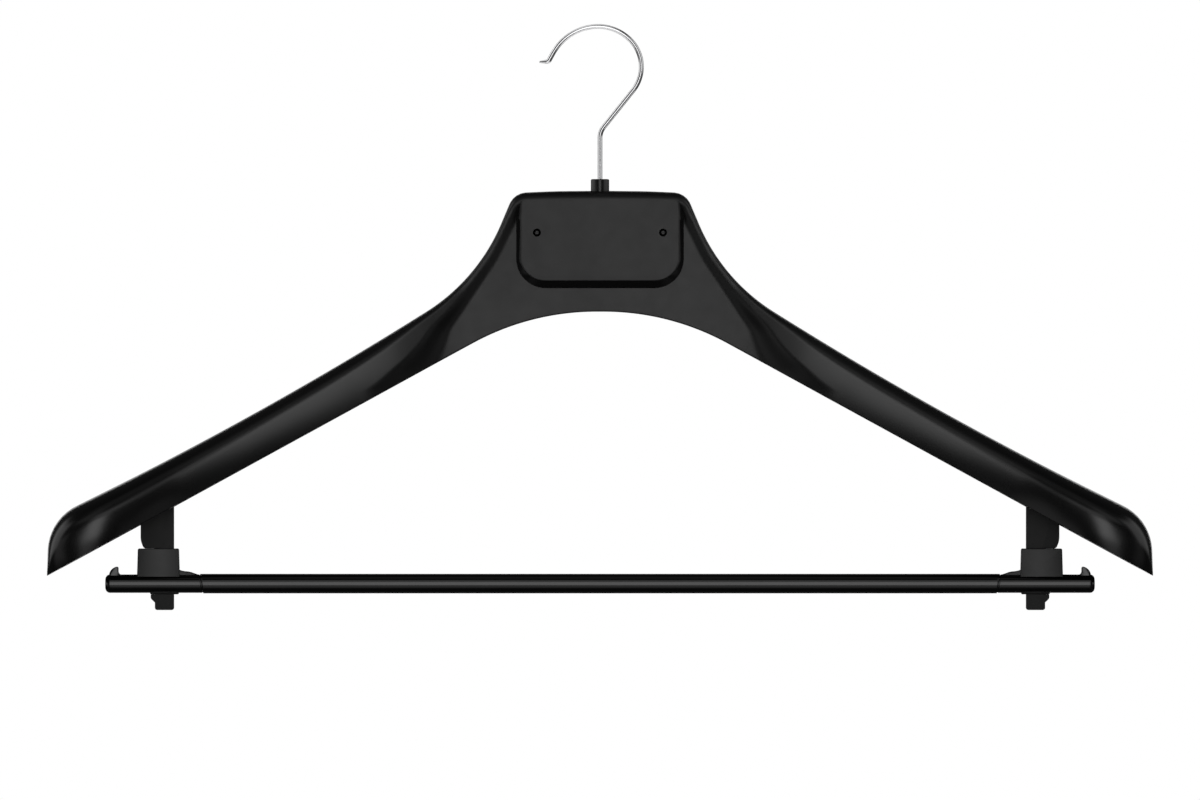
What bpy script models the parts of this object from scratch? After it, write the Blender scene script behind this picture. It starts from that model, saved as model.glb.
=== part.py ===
"""Suit hanger with a swivel hook, a cover plate and a trouser bar.

Metres, +Z up. The origin is the seat of the hook: the inner top of its bend, on the stem's axis.
The front faces -Y and the shoulders run along X. Drops are measured down from the seat.
"""

import math

import bmesh
import bpy
from mathutils import Matrix, Vector

# Fits and making allowances
GAP = 0.0003                  # between two pieces that touch on the real hanger
OVERRUN = 0.004               # how far a cutter runs past what it cuts
EMBED = 0.0006                # how far joined shapes run into each other
MERGE_DISTANCE = 0.00001      # points closer than this are one point

# Body outline, seen from the front
HALF_SPAN = 0.2250            # middle to shoulder tip
HEAD_DROP = 0.0660            # seat to the top of the head
HEAD_CROWN_PLACE = 0.0194     # middle to the soft bend in the head's top
HEAD_CROWN_FALL = 0.0002      # how far the top falls from its middle to that bend
HEAD_CROWN_RADIUS = 0.300
HEAD_HALF_WIDTH = 0.03506
HEAD_CORNER_FALL = 0.0009     # how far the head's corners lie below its middle
HEAD_CORNER_RADIUS = 0.0078
NECK_HEIGHT = 0.03539         # head corner to neck foot
NECK_SPREAD = 0.01488
NECK_RADIUS = 0.0784
ARM_BOW_RADIUS = 1.500
ARM_BOW_REACH = 0.08676       # neck foot to the corner of the arm's bow
ARM_BOW_FALL = 0.05411
SHOULDER_HEIGHT = 0.0229      # tip to the shoulder's corner
SHOULDER_RADIUS = 0.02085
SHOULDER_DRAFT = 0.0007
TIP_DROP = 0.1569             # top of the head to the tip
ARCH_DROP = 0.0493            # top of the head to the top of the arch
ARCH_HALF_WIDTH = 0.0284      # middle to the corner of the arch's two tangents
ARCH_RADIUS = 0.1054

# Body depth and wall
HEAD_HALF_DEPTH = 0.0060
RIM_HEIGHT = 0.0022           # how far the head's rim stands above its flat face
SHOULDER_HALF_DEPTH = 0.0215
SHOULDER_SWEEP = 0.0120       # how far the shoulders lie forward of the head
EDGE_HEIGHT = 0.0012          # height of the rounded edge down the neck, square to the outline
DOME_HEIGHT = 0.0165          # and on the arms
ROLL_POWER = 2.5              # 2 makes the rounding an ellipse, and more makes it squarer
TUCK = 0.0017                 # how far the arm's walls lean in at the lower edge
WALL = 0.0022

# Crease between the rim and the head's flat face, which runs down to the lower edge
CREASE_WIDTH = 0.0040
CREASE_FOOT_WIDTH = 0.0080
CREASE_TOP_GAP = 0.0062       # top of the head to the crease
CREASE_TOP_PLACE = 0.0330     # middle to the crease's corner
CREASE_BEND = (0.0430, 0.0274)    # place and drop below the top of the head
CREASE_FOOT = (0.0630, 0.0569)
CREASE_END = (0.0675, 0.0739)
CREASE_RADII = (0.0020, 0.0400, 0.0150)
TIP_END_SHARE = 0.004         # the last section stops this much short of the tip
TIP_ROUND_SHARE = 0.155       # share of the upper outline over which the end closes in plan
CORE_TIP_SHARE = 0.035        # the hollow ends this much earlier

# Body form along the upper outline. Each row: share of the upper outline, share of the lower outline
# that the section meets, then how much of the shoulder's depth, dome, rim and sweep it has.
FORM_SHARES = (
    (0.000, 0.000, 0.00, 0.19, 1.00, 0.00),
    (0.100, 0.090, 0.00, 0.17, 1.00, 0.00),
    (0.147, 0.117, 0.00, 0.00, 0.60, 0.00),
    (0.188, 0.140, 0.00, 0.00, 0.50, 0.00),
    (0.257, 0.192, 0.04, 0.04, 0.50, 0.00),
    (0.300, 0.234, 0.12, 0.14, 0.50, 0.01),
    (0.350, 0.284, 0.25, 0.36, 0.40, 0.04),
    (0.400, 0.340, 0.36, 0.68, 0.20, 0.09),
    (0.470, 0.421, 0.49, 1.00, 0.00, 0.17),
    (0.643, 0.619, 0.73, 1.00, 0.00, 0.40),
    (0.821, 0.832, 0.95, 1.00, 0.00, 0.80),
    (0.883, 0.903, 1.00, 1.00, 0.00, 0.95),
    (0.917, 0.939, 1.00, 1.00, 0.00, 1.00),
    (0.952, 0.968, 1.00, 1.00, 0.00, 1.04),
    (0.979, 0.989, 1.00, 1.00, 0.00, 1.06),
    (1.000, 1.000, 1.00, 1.00, 0.00, 1.07),
)
# A section is slanted to the outline by no more than this, and its rounding takes at most this share of it.
# The crease starts and ends by the other two shares, also where it runs out at the lower edge.
SQUARE_LIMIT_SHARE = 0.40
ROLL_LIMIT_SHARE = 0.58
CREASE_START_SHARE = 0.72
CREASE_END_SHARE = 0.88
CREASE_SCAN_STEPS = 60
SLOPE_SHARE = 0.001           # the outline's slope is taken over this share on both sides
# Sections of the body: first share, last share, how many
RING_SHARES = ((0.0, 0.092, 4), (0.104, 0.150, 6), (0.165, 0.300, 8), (0.311, 0.370, 7),
               (0.392, 0.84, 10), (0.866, 0.950, 7))
TIP_RINGS = 6
CORE_RING_SHARES = ((0.0, 0.104, 3), (0.130, 0.400, 9), (0.45, 0.81, 6))
CORE_TIP_RINGS = 6

# Inside the body
RIB_THICKNESS = 0.0015
RIB_LIFT = 0.0040             # gap between a rib and the lower edge
RIB_PLACE_SHARES = (0.276, 0.382, 0.489, 0.596, 0.693, 0.907)     # of the half span
STEM_BOSS_WIDTH = 0.0110
STEM_BOSS_LENGTH = 0.0139
POCKET_WIDTH = 0.0140         # window behind the cover plate, where the lock ring goes on
POCKET_HEIGHT = 0.0110

# Cover plate
PLATE_FACE_HALF_WIDTH = 0.0316
PLATE_FACE_TOP_HALF_WIDTH = 0.0314
PLATE_HALF_WIDTH = 0.0341
PLATE_TOP_HALF_WIDTH = 0.0324
PLATE_TOP_SIDE = 0.0070       # how far down the side the plate reaches its full width
PLATE_TOP_GAP = 0.0036        # top of the head to the top of the plate
PLATE_HEIGHT = 0.0362
PLATE_BEVEL_DROP = 0.0033     # how far the sloped lower edge reaches below the face
PLATE_CORNER_RADIUS = 0.0120
PLATE_FACE_CORNER_RADIUS = 0.0092
PLATE_TOP_CORNER_RADIUS = 0.0006
PLATE_EDGE = 0.0004           # height of the plate's upright edge
PLATE_RECESS = 0.0003         # the plate sits this deep in the head
COVE_SHARES = (0.45, 0.75, 0.93, 1.0)
PLATE_ARC_SPANS = 6

# Pins that hold the plate
PIN_SPACING = 0.0514
PIN_BELOW_HEAD = 0.0172
PIN_RADIUS = 0.0008
PIN_HEAD_RADIUS = 0.00125
PIN_HEAD_HEIGHT = 0.0006
PIN_LENGTH = 0.0075
PIN_DIMPLE_RADIUS = 0.0004
PIN_DIMPLE_DEPTH = 0.00025
PIN_SINK = 0.0003             # how deep the head lies below the plate's face
PIN_BOSS_RADIUS = 0.0026

# Hook
WIRE_RADIUS = 0.0010
HOOK_SIDE_RADIUS = 0.0155
HOOK_CROWN_RADIUS = 0.0186
HOOK_MOUTH_RADIUS = 0.0212
HOOK_SIDE_OFFSET = 0.00138    # stem's axis to the centre of the side arc
HOOK_LEAN = math.radians(38.7)
HOOK_SIDE_END = math.radians(44)
HOOK_CROWN_END = math.radians(95)
HOOK_MOUTH_END = math.radians(151)
HOOK_RUN_OUT = 0.0040         # straight wire between the mouth arc and the lip
HOOK_LIP_LENGTH = 0.0034
HOOK_LIP_RADIUS = 0.0013
HOOK_LIP_ANGLE = math.radians(181)
HOOK_STEM_RADIUS = 0.0070
HOOK_LIP_TAPER_SHARE = 0.42
ARC_STEP = math.radians(7)
FINE_ARC_STEP = math.radians(1)

# Collar, washer and lock ring round the stem
COLLAR_RADIUS = 0.00375
COLLAR_HEIGHT = 0.0050
COLLAR_SEAT = 0.0006          # how deep the cap's foot sits in the head
COLLAR_ROUND = 0.0005
COLLAR_SLEEVE_RADIUS = 0.0025
WASHER_RADIUS = 0.0030
WASHER_THICKNESS = 0.0008
RING_RADIUS = 0.0027
RING_HEIGHT = 0.0024
RING_CHAMFER = 0.0006
STEM_TAIL = 0.0012            # wire that shows below the lock ring

# Drop posts
POST_STATION_SHARE = 0.765    # the section of the body that the posts hang in
POST_SETBACK = 0.0379         # shoulder tip to the post's outer side
POST_WIDTH = 0.0136
POST_INNER = HALF_SPAN - POST_SETBACK - POST_WIDTH
POST_THICKNESS = 0.0022
POST_TOP_COVER = 0.0038       # plastic left over the post's top end
POST_CHAMFER_WIDTH = 0.0013
POST_CHAMFER_HEIGHT = 0.0030
POST_TOP_CHAMFER = 0.0010
POST_SHOW = 0.00974           # length of post that shows between the body and its shoulder
SOCKET_WALL = 0.0016
SOCKET_MOUTH_LIFT = 0.0016    # how far the socket's mouth lies above the lower edge
TAB_WIDTH = 0.0078
TAB_TAIL = 0.0070             # how far the tab reaches below the bar
TAB_CORNER_RADIUS = 0.0010
BARB_WIDTH = 0.0017
BARB_HEIGHT = 0.0025
BARB_ROUND = 0.0008

# Trouser bar
BAR_BELOW_SHOULDER = 0.0143   # post's shoulder to the bar's axis
BAR_SETBACK = 0.0235          # shoulder tip to the bar's end
BAR_HALF_LENGTH = HALF_SPAN - BAR_SETBACK
END_RADIUS = 0.00375
END_ROUND = 0.0019
SLEEVE_RADIUS = 0.0040
SLEEVE_WALL = 0.0007
CORE_RADIUS = 0.0030
CORE_WALL = 0.0006
CORE_SETBACK = 0.0010
FITTING_RUN = 0.0111          # post's inner side to the joint of end fitting and sleeve
JOINT_PLACE = POST_INNER - FITTING_RUN
JOINT_LEAN = math.tan(math.radians(9.0))
SPIGOT_LENGTH = 0.0140
BLOCK_OVERHANG = 0.0020       # how far the block reaches past the post, inner side
BLOCK_OUTER_OVERHANG = 0.0011
BLOCK_FLARE = 0.0004
BLOCK_THICKNESS = 0.0048
BLOCK_ROUND = 0.0006
GUSSET_LENGTH = 0.0085
GUSSET_HEIGHT = 0.0020
GUSSET_THICKNESS = 0.0026
BOSS_DEPTH = 0.0006
BOSS_MARGIN = 0.0019
BOSS_THICKNESS = 0.0042
BOSS_ROUND = 0.0004
HORN_HEIGHT = 0.0032
HORN_WIDTH = 0.0046
HORN_THICKNESS = 0.0034
HORN_SETBACK = 0.0016         # bar's end to the horn's outer foot
HORN_FOOT = 0.0030            # how deep the horn is rooted in the fitting
# Horn outline, outer foot to inner foot: share of its width, share of its height
HORN_SHARES = ((0.0, 0.0), (0.10, 0.42), (0.30, 0.76), (0.56, 0.96), (0.72, 1.0),
               (0.82, 0.86), (0.83, 0.40), (1.0, 0.0))
TURN_STEPS = 24

COLLECTION = "suit_hanger"
CUTTERS = "cutters"


# Scene, collections and materials

def clear_scene():
    for obj in list(bpy.data.objects):
        bpy.data.objects.remove(obj, do_unlink=True)


def new_collection(name):
    collection = bpy.data.collections.new(name)
    bpy.context.scene.collection.children.link(collection)
    return collection


def new_material(name, color, roughness, metallic=0.0):
    material = bpy.data.materials.new(name)
    material.use_nodes = True
    shader = material.node_tree.nodes["Principled BSDF"]
    shader.inputs["Base Color"].default_value = (*color, 1.0)
    shader.inputs["Roughness"].default_value = roughness
    shader.inputs["Metallic"].default_value = metallic
    return material


def black_plastic(name, roughness=0.32):
    return new_material(name, (0.012, 0.012, 0.013), roughness)


def bright_steel(name):
    return new_material(name, (0.78, 0.79, 0.80), 0.12, 1.0)


def plain_steel(name):
    return new_material(name, (0.52, 0.52, 0.53), 0.35, 1.0)


# Objects

def add_object(name, data, material=None):
    obj = bpy.data.objects.new(name, data)
    if material is None:
        bpy.data.collections[CUTTERS].objects.link(obj)
        obj.display_type = "WIRE"
        obj.hide_render = True
    else:
        data.materials.append(material)
        bpy.data.collections[COLLECTION].objects.link(obj)
    return obj


def object_from_bmesh(name, shape, material=None):
    bmesh.ops.recalc_face_normals(shape, faces=shape.faces)
    mesh = bpy.data.meshes.new(name)
    shape.to_mesh(mesh)
    shape.free()
    return add_object(name, mesh, material)


def evaluated_mesh(obj):
    bpy.context.view_layer.update()
    depsgraph = bpy.context.evaluated_depsgraph_get()
    return bpy.data.meshes.new_from_object(obj.evaluated_get(depsgraph))


def as_mesh_object(obj):
    """Replace an object by the mesh that its curve or modifiers give, with its caps welded."""
    name = obj.name
    material = obj.data.materials[0] if obj.data.materials else None
    mesh = evaluated_mesh(obj)
    shape = bmesh.new()
    shape.from_mesh(mesh)
    bmesh.ops.remove_doubles(shape, verts=shape.verts, dist=MERGE_DISTANCE)
    shape.transform(obj.matrix_world)
    bmesh.ops.recalc_face_normals(shape, faces=shape.faces)
    shape.to_mesh(mesh)
    shape.free()
    bpy.data.objects.remove(obj, do_unlink=True)
    mesh.materials.clear()
    return add_object(name, mesh, material)


def add_boolean(obj, operation, other):
    modifier = obj.modifiers.new(f"{operation.lower()} {other.name}", "BOOLEAN")
    modifier.operation = operation
    modifier.solver = "EXACT"
    modifier.object = other


def cut(obj, *others):
    for other in others:
        add_boolean(obj, "DIFFERENCE", other)


def join(obj, *others):
    for other in others:
        add_boolean(obj, "UNION", other)


def shade_round(obj):
    obj.data.shade_smooth()
    obj.data.set_sharp_from_angle(angle=math.radians(35))


def box(name, low, high, material=None):
    shape = bmesh.new()
    bmesh.ops.create_cube(shape, size=1.0)
    low, high = Vector(low), Vector(high)
    size = high - low
    matrix = Matrix.Translation((low + high) / 2) @ Matrix.Diagonal((*size, 1.0))
    bmesh.ops.transform(shape, matrix=matrix, verts=shape.verts)
    return object_from_bmesh(name, shape, material)


def cylinder(name, radius, start, end, sides=TURN_STEPS, material=None):
    """Cylinder between two points."""
    start, end = Vector(start), Vector(end)
    axis = end - start
    shape = bmesh.new()
    bmesh.ops.create_cone(shape, cap_ends=True, segments=sides, radius1=radius, radius2=radius,
                          depth=axis.length)
    turn = Vector((0, 0, 1)).rotation_difference(axis).to_matrix().to_4x4()
    bmesh.ops.transform(shape, matrix=Matrix.Translation((start + end) / 2) @ turn, verts=shape.verts)
    return object_from_bmesh(name, shape, material)


def turned(name, profile, material=None, closed=False, steps=TURN_STEPS):
    """Turn a profile of (radius, height) about Z. It runs down the outer side, top to bottom."""
    shape = bmesh.new()
    points = [shape.verts.new((radius, 0, height)) for radius, height in profile]
    for first, second in zip(points, points[1:]):
        shape.edges.new((first, second))
    if closed:
        shape.edges.new((points[-1], points[0]))
    mesh = bpy.data.meshes.new(name)
    shape.to_mesh(mesh)
    shape.free()
    obj = add_object(name, mesh, material)
    modifier = obj.modifiers.new("turn", "SCREW")
    modifier.steps = steps
    modifier.render_steps = steps
    modifier.use_merge_vertices = True
    modifier.merge_threshold = MERGE_DISTANCE
    modifier.use_smooth_shade = True
    return obj


def plate_from_outline(name, outline, middle_y, thickness, material=None):
    """Flat plate in the XZ plane from an outline of (x, z), as a 2D curve with an extrude."""
    curve = bpy.data.curves.new(name, "CURVE")
    curve.dimensions = "2D"
    curve.fill_mode = "BOTH"
    curve.extrude = thickness / 2
    spline = curve.splines.new("POLY")
    spline.points.add(len(outline) - 1)
    for point, (x, z) in zip(spline.points, outline):
        point.co = (x, z, 0, 1)
    spline.use_cyclic_u = True
    obj = add_object(name, curve, material)
    obj.rotation_euler = (math.pi / 2, 0, 0)
    obj.location = (0, middle_y, 0)
    return as_mesh_object(obj)


# Outlines

def arc_points(centre, radius, start, end, step=ARC_STEP, count=None):
    """Points on an arc, both ends included, a step apart or count spans in all."""
    count = count or max(2, math.ceil(abs(end - start) / step))
    points = []
    for index in range(count + 1):
        angle = start + (end - start) * index / count
        points.append((centre[0] + radius * math.cos(angle), centre[1] + radius * math.sin(angle)))
    return points


def arc_runs(corners, radii):
    """How far each corner's arc reaches along its legs. On a short leg the longer reach gives way."""
    runs = [0.0]
    for before, corner, after, radius in zip(corners, corners[1:], corners[2:], radii):
        back, ahead = Vector(before) - Vector(corner), Vector(after) - Vector(corner)
        runs.append(radius / math.tan(back.angle(ahead) / 2))
    runs.append(0.0)
    for index, (first, second) in enumerate(zip(corners, corners[1:])):
        leg = (Vector(second) - Vector(first)).length
        if runs[index] + runs[index + 1] > leg:
            shorter = min(runs[index], runs[index + 1], leg / 2)
            before_is_shorter = runs[index] < runs[index + 1]
            runs[index] = shorter if before_is_shorter else leg - shorter
            runs[index + 1] = leg - runs[index]
    return runs[1:-1]


def rounded_path(corners, radii, step=ARC_STEP, count=None):
    """An open path through corners, with an arc of the given radius at each inner one."""
    path = [corners[0]]
    for before, corner, after, run in zip(corners, corners[1:], corners[2:], arc_runs(corners, radii)):
        corner = Vector(corner)
        back = (Vector(before) - corner).normalized()
        ahead = (Vector(after) - corner).normalized()
        half = back.angle(ahead) / 2
        radius = run * math.tan(half)
        centre = corner + (back + ahead).normalized() * radius / math.sin(half)
        first = corner + back * run - centre
        last = corner + ahead * run - centre
        start = math.atan2(first.y, first.x)
        turn = (math.atan2(last.y, last.x) - start + math.pi) % (2 * math.pi) - math.pi
        path += arc_points(centre, radius, start, start + turn, step, count)
    path.append(corners[-1])
    return path


def rounded_outline(corners, radii, step=ARC_STEP * 3):
    """A closed outline with an arc at each corner whose radius isn't zero."""
    outline = []
    count = len(corners)
    for index, radius in enumerate(radii):
        if radius:
            stretch = (corners[index - 1], corners[index], corners[(index + 1) % count])
            outline += rounded_path(stretch, (radius,), step)[1:-1]
        else:
            outline.append(corners[index])
    return outline


def mirrored(outline):
    """The outline on the other side of the middle, still in the same turning sense."""
    return [(-x, z) for x, z in reversed(outline)]


class Path:
    """A path that gives the point at any share of its length."""

    def __init__(self, points):
        self.points = [Vector(point) for point in points]
        self.lengths = [0.0]
        for first, second in zip(self.points, self.points[1:]):
            self.lengths.append(self.lengths[-1] + (second - first).length)

    def at(self, share):
        goal = share * self.lengths[-1]
        for index in range(1, len(self.points)):
            if goal <= self.lengths[index]:
                span = self.lengths[index] - self.lengths[index - 1]
                part = (goal - self.lengths[index - 1]) / span
                return self.points[index - 1].lerp(self.points[index], part)
        return self.points[-1].copy()

    def direction(self, share):
        after, before = min(share + SLOPE_SHARE, 1.0), max(share - SLOPE_SHARE, 0.0)
        return (self.at(after) - self.at(before)).normalized()

    def height_at(self, x):
        for first, second in zip(self.points, self.points[1:]):
            if first.x <= x <= second.x:
                return first.lerp(second, (x - first.x) / (second.x - first.x)).y
        raise ValueError("the path doesn't reach that far")

    def beside(self, point):
        """Distance from the path, positive on the right hand of someone who walks along it."""
        nearest, side = None, 1.0
        for first, second in zip(self.points, self.points[1:]):
            along = second - first
            part = min(max((point - first).dot(along) / along.length_squared, 0.0), 1.0)
            offset = point - first - along * part
            if nearest is None or offset.length < nearest:
                nearest = offset.length
                side = -1.0 if along.cross(offset) > 0 else 1.0
        return nearest * side


HEAD_TOP_Z = -HEAD_DROP
TIP_Z = HEAD_TOP_Z - TIP_DROP
ARCH_Z = HEAD_TOP_Z - ARCH_DROP


def upper_outline():
    crown = (HEAD_CROWN_PLACE, HEAD_TOP_Z - HEAD_CROWN_FALL)
    corner_z = HEAD_TOP_Z - HEAD_CORNER_FALL
    foot = (HEAD_HALF_WIDTH + NECK_SPREAD, corner_z - NECK_HEIGHT)
    bow = (foot[0] + ARM_BOW_REACH, foot[1] - ARM_BOW_FALL)
    shoulder = (HALF_SPAN - SHOULDER_DRAFT, TIP_Z + SHOULDER_HEIGHT)
    corners = ((0, HEAD_TOP_Z), crown, (HEAD_HALF_WIDTH, corner_z), foot, bow, shoulder, (HALF_SPAN, TIP_Z))
    radii = (HEAD_CROWN_RADIUS, HEAD_CORNER_RADIUS, NECK_RADIUS, ARM_BOW_RADIUS, SHOULDER_RADIUS)
    return Path(rounded_path(corners, radii, FINE_ARC_STEP))


def lower_outline():
    corners = ((0, ARCH_Z), (ARCH_HALF_WIDTH, ARCH_Z), (HALF_SPAN, TIP_Z))
    return Path(rounded_path(corners, (ARCH_RADIUS,), FINE_ARC_STEP))


def crease_line():
    corners = [(0, HEAD_TOP_Z - CREASE_TOP_GAP), (CREASE_TOP_PLACE, HEAD_TOP_Z - CREASE_TOP_GAP)]
    corners += [(place, HEAD_TOP_Z - drop) for place, drop in (CREASE_BEND, CREASE_FOOT, CREASE_END)]
    return Path(rounded_path(corners, CREASE_RADII))


UPPER = upper_outline()
LOWER = lower_outline()
CREASE = crease_line()


def lower_edge_z(x):
    """Height of the body's lower edge at a distance from the middle."""
    return LOWER.height_at(abs(x))


def smooth_step(part):
    part = min(max(part, 0.0), 1.0)
    return part * part * (3 - 2 * part)


def form_at(share):
    """Row of the form table at a share of the upper outline, with smooth slopes between rows."""
    rows = FORM_SHARES
    index = 1
    while index < len(rows) - 1 and share > rows[index][0]:
        index += 1
    low, high = rows[index - 1], rows[index]
    before = rows[max(index - 2, 0)]
    after = rows[min(index + 1, len(rows) - 1)]
    span = high[0] - low[0]
    part = min(max((share - low[0]) / span, 0.0), 1.0)
    values = []
    for column in range(1, len(low)):
        chord = (high[column] - low[column]) / span
        start = monotone_slope(before, low, high, column)
        end = monotone_slope(low, high, after, column)
        square, cube = part ** 2, part ** 3
        values.append(low[column] + chord * span * (3 * square - 2 * cube)
                      + start * span * (part - 2 * square + cube) + end * span * (cube - square))
    return values


def monotone_slope(before, here, after, column):
    """Slope at a row that never overshoots: zero where the column turns or rests."""
    if before is here or here is after:
        return 0.0
    left = (here[column] - before[column]) / (here[0] - before[0])
    right = (after[column] - here[column]) / (after[0] - here[0])
    if left * right <= 0:
        return 0.0
    return 2 * left * right / (left + right)


# The body's surface

def closing(share, end_share):
    """How much of the depth is left where the shoulder's end rounds off in plan."""
    start = end_share - TIP_ROUND_SHARE
    part = min(max((share - start) / TIP_ROUND_SHARE, 0.0), 1.0)
    return math.sqrt(1 - part * part)


def sweep_y(share):
    return -SHOULDER_SWEEP * form_at(share)[4]


def sunk(place):
    """How far a place lies in the head's flat face: 0 on the rim and the arm, 1 on the flat."""
    fall_share = min((HEAD_TOP_Z - place.y) / CREASE_END[1], 1.0)
    width = CREASE_WIDTH + (CREASE_FOOT_WIDTH - CREASE_WIDTH) * fall_share ** 2
    return smooth_step(CREASE.beside(place) / width + 0.5)


def crease_stretch(top, down, roll, length):
    """Where along a section the crease starts and ends."""
    start_limit, end_limit = length * CREASE_START_SHARE, length * CREASE_END_SHARE
    start, end = start_limit, end_limit
    for step in reversed(range(CREASE_SCAN_STEPS)):
        along = roll + (end_limit - roll) * step / CREASE_SCAN_STEPS
        depth = sunk(top + down * along)
        if depth >= 1:
            end = along
        if depth > 0:
            start = along
    start = min(start, start_limit)
    return start, max(end, start + end_limit - start_limit)


def section(share, inset=0.0, end_share=1.0, reach=0.0, roll_steps=8, crease_steps=3, wall_steps=2):
    """One section of the body, from its front lower edge over the ridge to its back lower edge.

    inset is the wall when the section is the hollow's, and reach lengthens it below the lower edge.
    """
    lower_share, depth, dome, rim, sweep = form_at(share)
    top, bottom = UPPER.at(share), LOWER.at(lower_share)
    down = bottom - top
    length = down.length
    down.normalize()
    square = max(abs(UPPER.direction(share).cross(down)), SQUARE_LIMIT_SHARE)
    roll = (EDGE_HEIGHT + (DOME_HEIGHT - EDGE_HEIGHT) * dome) / square
    roll = min(roll, length * ROLL_LIMIT_SHARE)
    start, end = crease_stretch(top, down, roll, length)
    close = closing(share, end_share)
    swell = (SHOULDER_HALF_DEPTH - HEAD_HALF_DEPTH) * depth
    full = (HEAD_HALF_DEPTH + RIM_HEIGHT * rim + swell - inset) * close
    flat = min(HEAD_HALF_DEPTH - inset, full)
    half_section = []
    for index in range(roll_steps + 1):
        angle = math.pi / 2 * (1 - index / roll_steps)
        rise = math.sin(angle) ** (2 / ROLL_POWER)
        out = math.cos(angle) ** (2 / ROLL_POWER) if index else 0.0
        half_section.append((inset + (roll - inset) * (1 - rise), full * out))
    places = [start + (end - start) * index / crease_steps for index in range(crease_steps + 1)]
    places += [end + (length + reach - end) * index / wall_steps for index in range(1, wall_steps + 1)]
    for along in places:
        lean = TUCK * dome * close * ((along - roll) / (length - roll)) ** 2
        depth_here = full + (flat - full) * sunk(top + down * along)
        half_section.append((along, depth_here - lean))
    middle = -SHOULDER_SWEEP * sweep
    points = []
    for along, out in reversed(half_section):
        place = top + down * along
        points.append(Vector((place.x, middle - out, place.y)))
    for along, out in half_section[1:]:
        place = top + down * along
        points.append(Vector((place.x, middle + out, place.y)))
    return points


def spread(spans):
    shares = []
    for first, last, count in spans:
        shares += [first + (last - first) * index / (count - 1) for index in range(count)]
    return shares


def tip_shares(start, end, count):
    """Shares that crowd towards the end, where the form closes."""
    return [start + (end - start) * math.sin(math.pi / 2 * index / count) for index in range(1, count + 1)]


def loft(name, rings, material=None):
    """Half body from closed sections, open at the first one and closed over the last."""
    shape = bmesh.new()
    loops = [[shape.verts.new(point) for point in ring] for ring in rings]
    for near, far in zip(loops, loops[1:]):
        for index in range(len(near)):
            following = (index + 1) % len(near)
            shape.faces.new((near[index], near[following], far[following], far[index]))
    shape.faces.new(loops[-1])
    bmesh.ops.triangulate(shape, faces=shape.faces)
    obj = object_from_bmesh(name, shape, material)
    mirror = obj.modifiers.new("other half", "MIRROR")
    mirror.merge_threshold = MERGE_DISTANCE
    return obj


def make_core():
    """The hollow inside the body, with gaps where ribs, sockets and bosses stand."""
    last = 1 - CORE_TIP_SHARE
    shares = spread(CORE_RING_SHARES)
    shares += tip_shares(CORE_RING_SHARES[-1][1], last - TIP_END_SHARE, CORE_TIP_RINGS)
    rings = [section(share, WALL, last, OVERRUN, roll_steps=5, crease_steps=2, wall_steps=1)
             for share in shares]
    core = loft("hollow", rings)
    depth = SHOULDER_HALF_DEPTH * 2 + SHOULDER_SWEEP
    for number, place_share in enumerate(RIB_PLACE_SHARES, 1):
        place = HALF_SPAN * place_share
        low = lower_edge_z(place) + RIB_LIFT
        for side, word in ((1, "right"), (-1, "left")):
            rib = box(f"rib_{word}_{number}",
                      (side * place - RIB_THICKNESS / 2, -depth, low),
                      (side * place + RIB_THICKNESS / 2, depth, HEAD_TOP_Z))
            cut(core, rib)
    boss = box("stem_boss_space",
               (-STEM_BOSS_WIDTH / 2, -HEAD_HALF_DEPTH, HEAD_TOP_Z - STEM_BOSS_LENGTH),
               (STEM_BOSS_WIDTH / 2, HEAD_HALF_DEPTH, HEAD_TOP_Z + OVERRUN))
    cut(core, boss)
    for side, word in ((1, "right"), (-1, "left")):
        place = pin_place(side)
        pin_boss = cylinder(f"pin_boss_space_{word}", PIN_BOSS_RADIUS,
                            (place[0], -HEAD_HALF_DEPTH, place[1]), (place[0], HEAD_HALF_DEPTH, place[1]))
        cut(core, pin_boss)
        low, high = side_box(side, POST_INNER - GAP - SOCKET_WALL,
                             POST_INNER + POST_WIDTH + GAP + SOCKET_WALL)
        half = POST_THICKNESS / 2 + GAP + SOCKET_WALL
        socket = box(f"socket_space_{word}", (low, bar_y() - half, socket_mouth_z()),
                     (high, bar_y() + half, HEAD_TOP_Z))
        cut(core, socket)
    return core


def side_box(side, near, far):
    """Two distances from the middle as low and high X on one side."""
    return (near, far) if side > 0 else (-far, -near)


def bar_y():
    return sweep_y(POST_STATION_SHARE)


def shoulder_z():
    """Height of the posts' shoulders, below the body's lower edge over their outer sides."""
    return lower_edge_z(POST_INNER + POST_WIDTH) - POST_SHOW


def bar_z():
    return shoulder_z() - BAR_BELOW_SHOULDER


def socket_mouth_z():
    return lower_edge_z(POST_INNER - GAP - SOCKET_WALL) + SOCKET_MOUTH_LIFT


def post_top_z():
    """Top of the post: under the upper outline above its outer side, less the plastic that covers it."""
    return UPPER.height_at(POST_INNER + POST_WIDTH) - POST_TOP_COVER


def pin_place(side):
    return (side * PIN_SPACING / 2, HEAD_TOP_Z - PIN_BELOW_HEAD)


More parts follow.
